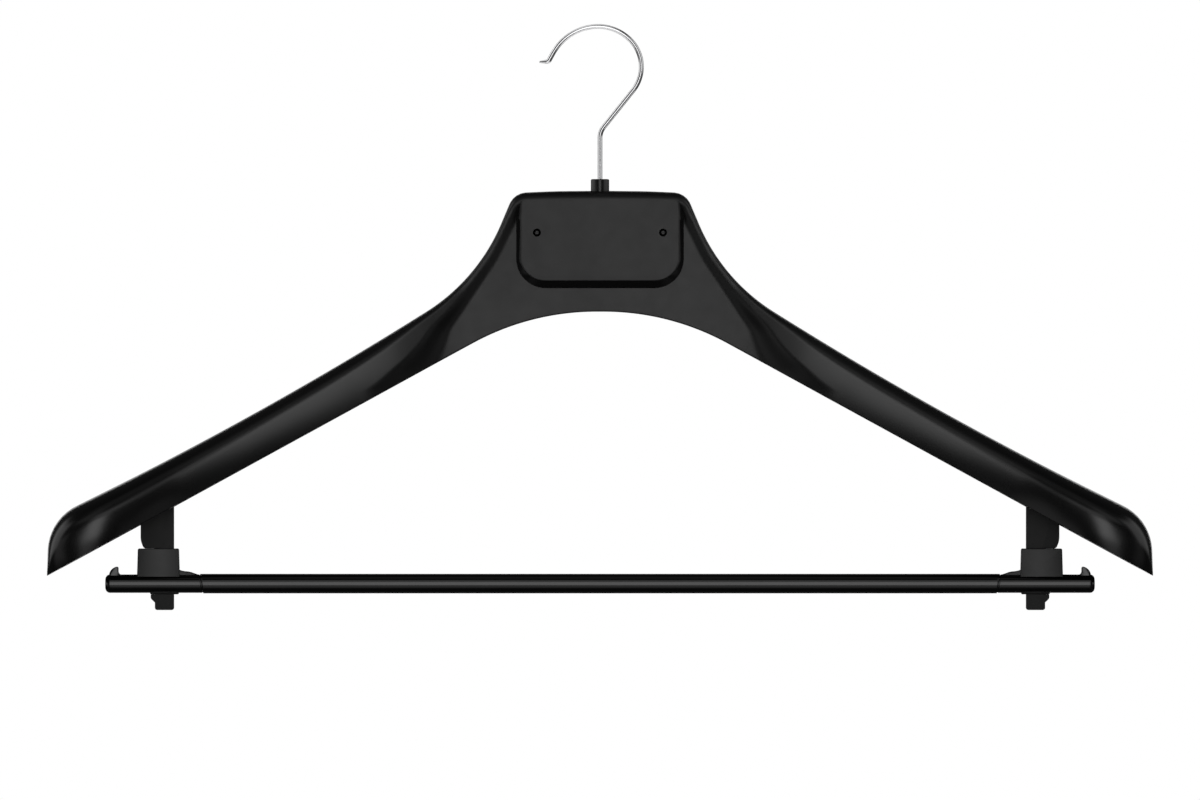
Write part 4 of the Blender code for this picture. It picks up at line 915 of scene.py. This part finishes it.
class HANGER_OT_plate(bpy.types.Operator):
    """Make the cover plate on the head and the two pins that hold it"""
    bl_idname = "hanger.plate"
    bl_label = "Cover plate and pins"

    def execute(self, context):
        size = sizes("plate")
        foot = plate_outline(size, size.half_width, size.top_half_width, size.height, size.corner_radius)
        face = plate_outline(size, size.face_half_width, size.face_top_half_width,
                             size.height - size.bevel_drop, size.face_corner_radius)
        back, front = PLATE_HIGH.y, PLATE_LOW.y
        edges = [self.edge_profile(size, *pair) for pair in zip(foot, face)]
        rings = [[(x, back, z) for x, z in foot]]
        for inward in np.sqrt(np.linspace(0, 1, BEVEL_STEPS + 1)):
            rings.append([(fx + (tx - fx) * inward, front + depth_at(1 - inward), fz + (tz - fz) * inward)
                          for (fx, fz), (tx, tz), depth_at in zip(foot, face, edges)])
        plate = solid("cover_plate", skin(rings))
        mouth = size.pin_recess + (size.pin_recess - size.pin_head) / size.pin_sink * RECESS_LIP
        recesses = [pin_rod(side, mouth, front - RECESS_LIP, front + size.pin_sink,
                            size.pin_head + RECESS_GAP) for side, _ in SIDES]
        holes = [pin_rod(side, size.pin_shank + FIT_GAP, front - OVERCUT, back + OVERCUT)
                 for side, _ in SIDES]
        combine(plate, "DIFFERENCE", solid("recesses", *recesses), solid("holes", *holes))
        finishes = sizes("finishes")
        bevel = -front - size.foot_roll / 2
        finish = moulded_plastic("cover plate plastic", finishes.plastic, roughness=0.41,
                                 polished=[("Y", bevel, bevel - POLISH_EDGE, BEVEL_ROUGHNESS)])
        finish_piece(plate, finish, "hanger", ["front_plate"])
        pin_finish = moulded_plastic("pin plastic", finishes.trim, roughness=0.36)
        for side, word in SIDES:
            self.make_pin(size, side, word, pin_finish)
        return {"FINISHED"}

    def edge_profile(self, size, foot, face):
        """Depth below the face by distance from it, at one place of the plate's edge."""
        away = Vector(foot) - Vector(face)
        width = max(away.length, MERGE)
        low = max(-away.y / width, 0.0) ** 2
        roll = min(size.side_roll + (size.foot_roll - size.side_roll) * low, width / 2)
        slope = math.tan(size.side_slope + (size.foot_slope - size.side_slope) * low)

        def depth_at(part):
            distance = part * width
            if distance < roll:
                return slope * distance ** 2 / roll / 2
            return slope * (distance - roll / 2)
        return depth_at

    def make_pin(self, size, side, word, finish):
        head, flat, shank, length = size.pin_head, size.pin_flat, size.pin_shank, PIN_HIGH.y - PIN_LOW.y
        profile = [(size.pin_dimple * math.sin(a), -size.pin_dimple * math.cos(a) * DIMPLE_DEPTH_SHARE)
                   for a in np.linspace(0, QUARTER_TURN, 5)]
        profile += arc((flat, flat - head), head - flat, QUARTER_TURN, 0, spans=5)
        profile += [(head, -PIN_HEAD_HEIGHT), (shank, -PIN_HEAD_HEIGHT), (shank, -length), (0, -length)]
        shape = turned(profile, PIN_STEPS)
        turn = Matrix.Translation((side * PIN_X, PIN_LOW.y, PIN_Z)) @ Matrix.Rotation(QUARTER_TURN, 4, "X")
        bmesh.ops.transform(shape, matrix=turn, verts=shape.verts)
        pin = solid(f"cover_pin_{word}", shape)
        finish_piece(pin, finish, "hanger", [f"plate_pin_{word}"])


# Hook, collar, washer and lock ring

def polar(angle):
    return Vector((math.cos(angle), math.sin(angle)))


def wire_line(size):
    """Centre line of the wire from its lower end to its lip, and where the lip starts."""
    side_out = polar(size.side_end) * (size.crown_radius - size.side_radius)
    side = Vector((size.side_offset, WIRE_RADIUS - size.crown_radius + side_out.y))
    crown = side - side_out
    mouth = crown - polar(size.crown_end) * (size.mouth_radius - size.crown_radius)
    leave = side + polar(-size.lean) * size.side_radius
    corner = (0, leave.y - leave.x / math.tan(size.lean))
    points = rounded(((0, WIRE_LOW.z), corner, leave), (size.stem_radius,), spans=16)[:-1]
    points += arc(side, size.side_radius, -size.lean, size.side_end, spans=40)[:-1]
    points += arc(crown, size.crown_radius, size.side_end, size.crown_end, spans=30)[:-1]
    points += arc(mouth, size.mouth_radius, size.crown_end, size.mouth_end, spans=30)[:-1]
    start = mouth + polar(size.mouth_end) * size.mouth_radius
    bend = start + polar(size.mouth_end + QUARTER_TURN) * size.run_out
    lip = bend + polar(size.lip_angle) * size.lip_length
    lip_start = len(points)
    points += rounded((start, bend, lip), (size.lip_radius,), spans=10)
    return np.array(points), lip_start


class HANGER_OT_wire(bpy.types.Operator):
    """Make the bent wire hook with its narrowed lip"""
    bl_idname = "hanger.wire"
    bl_label = "Wire hook"

    def execute(self, context):
        size = sizes("wire")
        points, lip_start = wire_line(size)
        ways = np.gradient(points, axis=0)
        ways /= np.linalg.norm(ways, axis=1)[:, None]
        run = np.concatenate(([0.0], np.cumsum(np.linalg.norm(np.diff(points, axis=0), axis=1))))
        lip = np.clip((run - run[lip_start + 1]) / (run[-1] - run[lip_start + 1]), 0, 1)
        widths = WIRE_RADIUS * (1 - (1 - size.tip_share) * lip ** 2)
        stations = [(points[0], ways[0], WIRE_RADIUS - WIRE_CHAMFER)]
        stations += [(point, way, width) for point, way, width in zip(points, ways, widths)]
        stations[1] = (points[0] + ways[0] * WIRE_CHAMFER, ways[0], WIRE_RADIUS)
        for angle in np.linspace(0, QUARTER_TURN, 5)[1:-1]:
            ahead = points[-1] + ways[-1] * widths[-1] * WIRE_TIP_SHARE * math.sin(angle)
            stations.append((ahead, ways[-1], widths[-1] * math.cos(angle)))
        rings = []
        for point, way, width in stations:
            middle, across = Vector((point[0], 0, point[1])), Vector((-way[1], 0, way[0]))
            rings.append([middle + across * width * math.cos(a) + Vector((0, width * math.sin(a), 0))
                          for a in np.linspace(0, FULL_TURN, WIRE_STEPS + 1)[:-1]])
        finish = metal("bright plated wire", sizes("finishes").plated, roughness=0.17, grain=WIRE_GRAIN)
        finish_piece(solid("wire_hook", skin(rings)), finish, "hook_wire", ["hook"])
        return {"FINISHED"}


class HANGER_OT_swivel(bpy.types.Operator):
    """Make the collar that the wire turns in, its washer and the lock ring"""
    bl_idname = "hanger.swivel"
    bl_label = "Collar, washer and lock ring"

    def execute(self, context):
        size, finishes = sizes("wire"), sizes("finishes")
        bore, top, soft = WIRE_RADIUS + size.running_gap, COLLAR_HIGH.z, size.collar_round
        foot = HEAD_TOP - FIT_GAP
        profile = [(bore, top - COLLAR_CHAMFER), (bore + COLLAR_CHAMFER, top)]
        profile += arc((COLLAR_RADIUS - soft, top - soft), soft, QUARTER_TURN, 0, spans=6)
        profile += [(COLLAR_RADIUS, foot), (size.sleeve_radius, foot), (size.sleeve_radius, COLLAR_LOW.z),
                    (bore, COLLAR_LOW.z), profile[0]]
        collar = solid("stem_collar", turned(profile, COLLAR_STEPS))
        plastic = moulded_plastic("collar plastic", finishes.trim, roughness=0.30)
        finish_piece(collar, plastic, "hanger", ["hook_collar"])
        steel = metal("plain steel", finishes.steel, roughness=0.30, grain=STEEL_GRAIN)
        for name, node, (low, high) in (("washer_disc", "stem_washer", (WASHER_LOW, WASHER_HIGH)),
                                        ("lock_ring", "hook_retainer", (RING_LOW, RING_HIGH))):
            radius, edge = (high.x - low.x) / 2, DISC_CHAMFER
            profile = [(bore, high.z), (radius - edge, high.z), (radius, high.z - edge),
                       (radius, low.z + edge), (radius - edge, low.z), (bore, low.z), (bore, high.z)]
            disc = solid(name, turned(profile, DISC_STEPS))
            finish_piece(disc, steel, "hook_wire", [node])
        return {"FINISHED"}


# Posts and trouser bar

class HANGER_OT_posts(bpy.types.Operator):
    """Make the two drop posts with their shoulders, tabs and barbs"""
    bl_idname = "hanger.posts"
    bl_label = "Drop posts"

    def execute(self, context):
        size = sizes("bar")
        inner, outer, top, end = POST_LOW.x, POST_HIGH.x, POST_HIGH.z, POST_LOW.z
        foot = BAR_Z + size.shoulder_rise + size.seam
        tab = inner + size.tab_width
        barb = tab + size.barb_width
        barb_top = BAR_Z - size.end_radius - size.boss_depth - size.seam
        barb_foot = barb_top - size.barb_height
        corners = [(inner, top), (inner, end), (tab, end), (tab, barb_foot - BARB_RUN),
                   (barb, barb_foot + size.barb_height / 3), (barb, barb_top), (tab, barb_top),
                   (tab, foot), (outer - size.post_chamfer, foot), (outer, foot + size.post_chamfer_height),
                   (outer, top)]
        rounds = [size.tab_round if radius is None else radius for radius in POST_ROUNDS]
        thickness = POST_HIGH.y - POST_LOW.y
        finish = moulded_plastic("post plastic", sizes("finishes").trim, roughness=0.62)
        for side, word in SIDES:
            shape = flat_piece(mirror_points(corners, side), rounds, thickness, size.soft_edge)
            post = solid(f"drop_post_{word}", shape)
            finish_piece(post, finish, "hanger", [f"post_{word}"])
        return {"FINISHED"}


def lay_along_bar(shape, side=1):
    """Lay a shape turned about Z along the bar, its top end towards one side."""
    turn = Matrix.Rotation(side * QUARTER_TURN, 4, "Y")
    bmesh.ops.transform(shape, matrix=Matrix.Translation((0, BAR_Y, BAR_Z)) @ turn, verts=shape.verts)


def lean_joint(shape, near, far, side):
    """Slant the rings between two distances from the middle."""
    lean = math.tan(sizes("bar").joint_lean)
    for vertex in shape.verts:
        if near <= vertex.co.x * side <= far:
            vertex.co.x += (vertex.co.z - BAR_Z) * lean * side


def bar_fitting(size, side, joint):
    """Turned part, block, gusset, boss and horn of one end fitting."""
    soft, length = size.joint_round, BAR_END
    spigot = SLEEVE_RADIUS - size.sleeve_wall - SPIGOT_GAP
    seat = joint - size.joint_gap + size.seam
    profile = [(0, length)] + arc((size.end_radius - size.end_round, length - size.end_round),
                                  size.end_round, QUARTER_TURN, 0, spans=10)
    profile += [(size.end_radius, length - size.end_round - size.straight_start),
                (size.end_radius, joint + size.straight_start)]
    profile += arc((size.end_radius - soft, joint + soft), soft, 0, -QUARTER_TURN, spans=4)
    profile += [(size.end_radius - soft, seat), (spigot, seat), (spigot, joint - size.spigot),
                (0, joint - size.spigot)]
    body = turned(profile, TUBE_STEPS)
    lay_along_bar(body, side)
    lean_joint(body, seat - soft / 4, joint + soft * 1.5, side)
    fitting = solid("fitting", body)
    inner, outer = POST_LOW.x - size.block_overhang, POST_HIGH.x + size.block_outer_overhang
    top, flare = BAR_Z + size.shoulder_rise, size.block_flare
    base = BAR_Z + size.end_radius
    gusset_top = base + size.gusset_height
    boss_foot = BAR_Z - size.end_radius - size.boss_depth
    boss_inner, boss_outer = POST_LOW.x - size.boss_margin, POST_LOW.x + size.tab_width + size.boss_margin
    horn_outer = length - size.horn_setback
    horn = [(horn_outer - size.horn_width, base - HORN_FOOT), (horn_outer, base - HORN_FOOT)]
    horn += [(horn_outer - across * size.horn_width, base + up * size.horn_height)
             for across, up in HORN_SHARES]
    web = [(inner - size.gusset_length * away, base + size.gusset_height * up)
           for away, up in GUSSET_SHARES]
    web = [(inner - size.gusset_length, BAR_Z), (inner + BLOCK_ROUND, BAR_Z),
           (inner + BLOCK_ROUND, gusset_top)] + web
    plates = (
        ([(inner - flare, BAR_Z), (outer + flare, BAR_Z), (outer, top), (inner, top)],
         (0, 0, BLOCK_ROUND, BLOCK_ROUND), size.block_thickness, size.soft_edge),
        (web, (0,) * len(web), size.gusset_thickness, size.gusset_thickness * GUSSET_SOFT_SHARE),
        ([(boss_inner, boss_foot), (boss_outer, boss_foot), (boss_outer, BAR_Z), (boss_inner, BAR_Z)],
         (BOSS_ROUND, BOSS_ROUND, 0, 0), size.boss_thickness, size.boss_depth),
        (horn, (0,) * len(horn), size.horn_thickness, size.soft_edge),
    )
    combine(fitting, "UNION", *(
        solid("extra", flat_piece(mirror_points(outline, side), rounds, thickness, edge))
        for outline, rounds, thickness, edge in plates))
    near, far = span_box(side, POST_LOW.x - size.seam, POST_LOW.x + size.tab_width + size.seam)
    slot = block((near, POST_LOW.y - SLOT_GAP, boss_foot - OVERCUT),
                 (far, POST_HIGH.y + SLOT_GAP, top + OVERCUT))
    combine(fitting, "DIFFERENCE", solid("slot", slot))
    return fitting


class HANGER_OT_bar(bpy.types.Operator):
    """Make the trouser bar's sleeve and its two end fittings, and finish its steel core"""
    bl_idname = "hanger.bar"
    bl_label = "Trouser bar"

    def execute(self, context):
        size, finishes = sizes("bar"), sizes("finishes")
        radius, soft = SLEEVE_RADIUS, SLEEVE_ROUND
        half = SLEEVE_HIGH.x - radius * math.tan(size.joint_lean)
        inner = radius - size.sleeve_wall
        straight = half - size.straight_start
        profile = arc((radius - soft, half - soft), soft, QUARTER_TURN, 0, spans=3)
        profile += [(radius, straight), (radius, -straight)]
        profile += arc((radius - soft, soft - half), soft, 0, -QUARTER_TURN, spans=3)
        profile += [(inner, -half), (inner, half), profile[0]]
        sleeve = turned(profile, TUBE_STEPS)
        lay_along_bar(sleeve)
        for side, _ in SIDES:
            lean_joint(sleeve, half - soft * 1.5, half + soft, side)
        tube_finish = drawn_tube("smooth black tube", finishes.tube, roughness=0.15)
        finish_piece(solid("bar_tube", sleeve), tube_finish, "hanger", ["bar_sleeve"])
        barrel_top = -BAR_Z - size.end_radius * BARREL_TOP_SHARE
        boss_top = -BAR_Z + size.end_radius * BOSS_TOP_SHARE
        outer_start, outer_end = (POST_HIGH.x + reach for reach in OUTER_POLISH)
        end_finish = moulded_plastic("bar fitting plastic", finishes.tube, roughness=0.40, polished=(
            ("Z", barrel_top, barrel_top + 2 * POLISH_EDGE, BARREL_ROUGHNESS),
            ("X", outer_start, outer_end, BARREL_ROUGHNESS),
            ("Z", boss_top, boss_top + 2 * POLISH_EDGE, BOSS_ROUGHNESS)))
        for side, word in SIDES:
            fitting = bar_fitting(size, side, half + size.joint_gap)
            fitting.name = f"bar_fitting_{word}"
            finish_piece(fitting, end_finish, "hanger", [f"bar_end_{word}"])
        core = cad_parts["bar_core"]
        core.data.materials.clear()
        core_finish = metal("core steel", finishes.steel, roughness=0.32, grain=STEEL_GRAIN)
        core.data.materials.append(core_finish)
        return {"FINISHED"}


# Studio

class HANGER_OT_studio(bpy.types.Operator):
    """Make the floor, the soft light and the camera"""
    bl_idname = "hanger.studio"
    bl_label = "Studio"

    def execute(self, context):
        settings = sizes("studio")
        self.make_floor(settings)
        self.make_light(settings)
        for name, place, width, level in WIRE_LAMPS:
            self.make_wire_lamp(name, place, width, getattr(settings, level))
        self.make_camera(settings)
        context.scene.view_settings.view_transform = "Standard"
        return {"FINISHED"}

    def make_floor(self, settings):
        shape = bmesh.new()
        bmesh.ops.create_circle(shape, cap_ends=True, segments=96, radius=settings.floor_radius)
        bmesh.ops.translate(shape, verts=shape.verts, vec=(0, 0, cad_box[0].z - settings.floor_drop))
        mesh = bpy.data.meshes.new("floor")
        shape.to_mesh(mesh)
        shape.free()
        floor = linked("floor", mesh)
        floor.visible_glossy = False
        nodes = Finish("pale floor")
        seen = nodes.add("ShaderNodeLightPath").outputs["Is Camera Ray"]
        paper = nodes.mix(nodes.noise(nodes.place, scale=900.0), *PAPER, "RGBA")
        paper = nodes.add("ShaderNodeBsdfDiffuse", {"Color": paper}).outputs["BSDF"]
        glow = nodes.math("MULTIPLY", seen, settings.floor_glow)
        glow = nodes.add("ShaderNodeEmission", {"Strength": glow})
        both = nodes.add("ShaderNodeAddShader", {0: paper, 1: glow.outputs["Emission"]}).outputs["Shader"]
        flat = nodes.add("ShaderNodeVectorMath", {0: nodes.place, 1: (1.0, 1.0, 0.0)}, operation="MULTIPLY")
        away = nodes.add("ShaderNodeVectorMath", {0: flat.outputs["Vector"]}, operation="LENGTH")
        start, end = (settings.floor_radius * part for part in FLOOR_FADE_SHARES)
        rim = nodes.span(away.outputs["Value"], start, end, 0.0, 1.0, "SMOOTHSTEP")
        white = nodes.add("ShaderNodeEmission", {"Strength": 1.0}).outputs["Emission"]
        whole = nodes.add("ShaderNodeMixShader", {0: nodes.math("MULTIPLY", rim, seen), 1: both, 2: white})
        nodes.add("ShaderNodeOutputMaterial", {"Surface": whole.outputs["Shader"]})
        mesh.materials.append(nodes.material)

    def make_light(self, settings):
        """Soft front light that fades downwards, weaker side lights and a white ground behind."""
        world = bpy.data.worlds.new("studio")
        bpy.context.scene.world = world
        nodes = Nodes(world)
        direction = nodes.add("ShaderNodeTexCoord").outputs["Generated"]
        parts = nodes.add("ShaderNodeSeparateXYZ", {"Vector": direction}).outputs
        height = nodes.math("DEGREES", nodes.math("ARCSINE", parts["Z"]))
        bearing = nodes.math("ARCTAN2", parts["X"], nodes.math("MULTIPLY", parts["Y"], -1.0))
        bearing = nodes.math("DEGREES", bearing)
        glow = settings.fill
        for west, east, low, high, soft, level in PANELS:
            panel = nodes.math("MULTIPLY", self.window(nodes, height, low, high, soft), level)
            if math.radians(east - west) < FULL_TURN:
                panel = nodes.math("MULTIPLY", panel, self.window(nodes, bearing, west, east, soft))
            glow = nodes.math("ADD", panel, glow)
        glow = nodes.math("MULTIPLY", glow, settings.light)
        behind = nodes.math("GREATER_THAN", parts["Y"], math.cos(GROUND_REACH))
        path = nodes.add("ShaderNodeLightPath").outputs
        mirrored = nodes.math("MAXIMUM", path["Is Glossy Ray"], path["Is Transmission Ray"])
        white = nodes.math("MAXIMUM", path["Is Camera Ray"], nodes.math("MULTIPLY", mirrored, behind))
        glow = nodes.math("MULTIPLY", glow, nodes.math("SUBTRACT", 1.0, white))
        strength = nodes.math("ADD", glow, white)
        ground = nodes.add("ShaderNodeBackground", {"Color": (1.0, 1.0, 1.0, 1.0), "Strength": strength})
        nodes.add("ShaderNodeOutputWorld", {"Surface": ground.outputs["Background"]})

    def make_wire_lamp(self, name, place, width, level):
        """A soft square light that faces the hook and is seen by its bright wire alone."""
        data = bpy.data.lights.new(name, "AREA")
        data.size = width
        data.energy = level * math.pi * width ** 2
        lamp = linked(name, data)
        lamp.location = place
        lamp.rotation_euler = (-Vector(place)).to_track_quat("-Z", "Y").to_euler()
        lamp.visible_camera = False
        group = bpy.data.collections.new(f"{name} receivers")
        group.objects.link(bpy.data.objects["wire_hook"])
        lamp.light_linking.receiver_collection = group

    def window(self, nodes, value, low, high, soft):
        """1 between two values and 0 outside, with soft edges."""
        rise = nodes.span(value, low - soft / 2, low + soft / 2, 0.0, 1.0, "SMOOTHSTEP")
        fall = nodes.span(value, high - soft / 2, high + soft / 2, 1.0, 0.0, "SMOOTHSTEP")
        return nodes.math("MULTIPLY", rise, fall)

    def make_camera(self, settings):
        data = bpy.data.cameras.new("camera")
        camera = linked("camera", data)
        camera.location = (0, -settings.camera_distance, settings.frame_centre)
        camera.rotation_euler = (QUARTER_TURN, 0, 0)
        data.lens = data.sensor_width * settings.camera_distance / settings.frame_width
        data.clip_end = 100.0
        bpy.context.scene.camera = camera


# Sidebar and registration

GROUPS = (("body", BodySizes), ("plate", PlateSizes), ("wire", WireSizes), ("bar", BarSizes),
          ("finishes", Finishes), ("studio", StudioSettings))
STEPS = (HANGER_OT_body, HANGER_OT_plate, HANGER_OT_wire, HANGER_OT_swivel, HANGER_OT_posts, HANGER_OT_bar,
         HANGER_OT_studio)


class HANGER_PT_parts(bpy.types.Panel):
    """Lists the hanger's pieces and sizes in the sidebar"""
    bl_idname = "HANGER_PT_parts"
    bl_label = "Suit hanger"
    bl_space_type = "VIEW_3D"
    bl_region_type = "UI"
    bl_category = "Hanger"

    def draw(self, context):
        for step in STEPS:
            self.layout.operator(step.bl_idname)
        for name, group in GROUPS:
            box = self.layout.box()
            box.label(text=name.capitalize())
            for key in group.__annotations__:
                box.prop(getattr(context.scene, f"hanger_{name}"), key)


def register():
    for name, group in GROUPS:
        bpy.utils.register_class(group)
        setattr(bpy.types.Scene, f"hanger_{name}", PointerProperty(type=group))
    for step in STEPS:
        bpy.utils.register_class(step)
    bpy.utils.register_class(HANGER_PT_parts)


def unregister():
    bpy.utils.unregister_class(HANGER_PT_parts)
    for step in reversed(STEPS):
        bpy.utils.unregister_class(step)
    for name, group in reversed(GROUPS):
        delattr(bpy.types.Scene, f"hanger_{name}")
        bpy.utils.unregister_class(group)


def main():
    register()
    bpy.ops.hanger.body()
    bpy.ops.hanger.plate()
    bpy.ops.hanger.wire()
    bpy.ops.hanger.swivel()
    bpy.ops.hanger.posts()
    bpy.ops.hanger.bar()
    bpy.ops.hanger.studio()


if __name__ == "__main__":
    main()
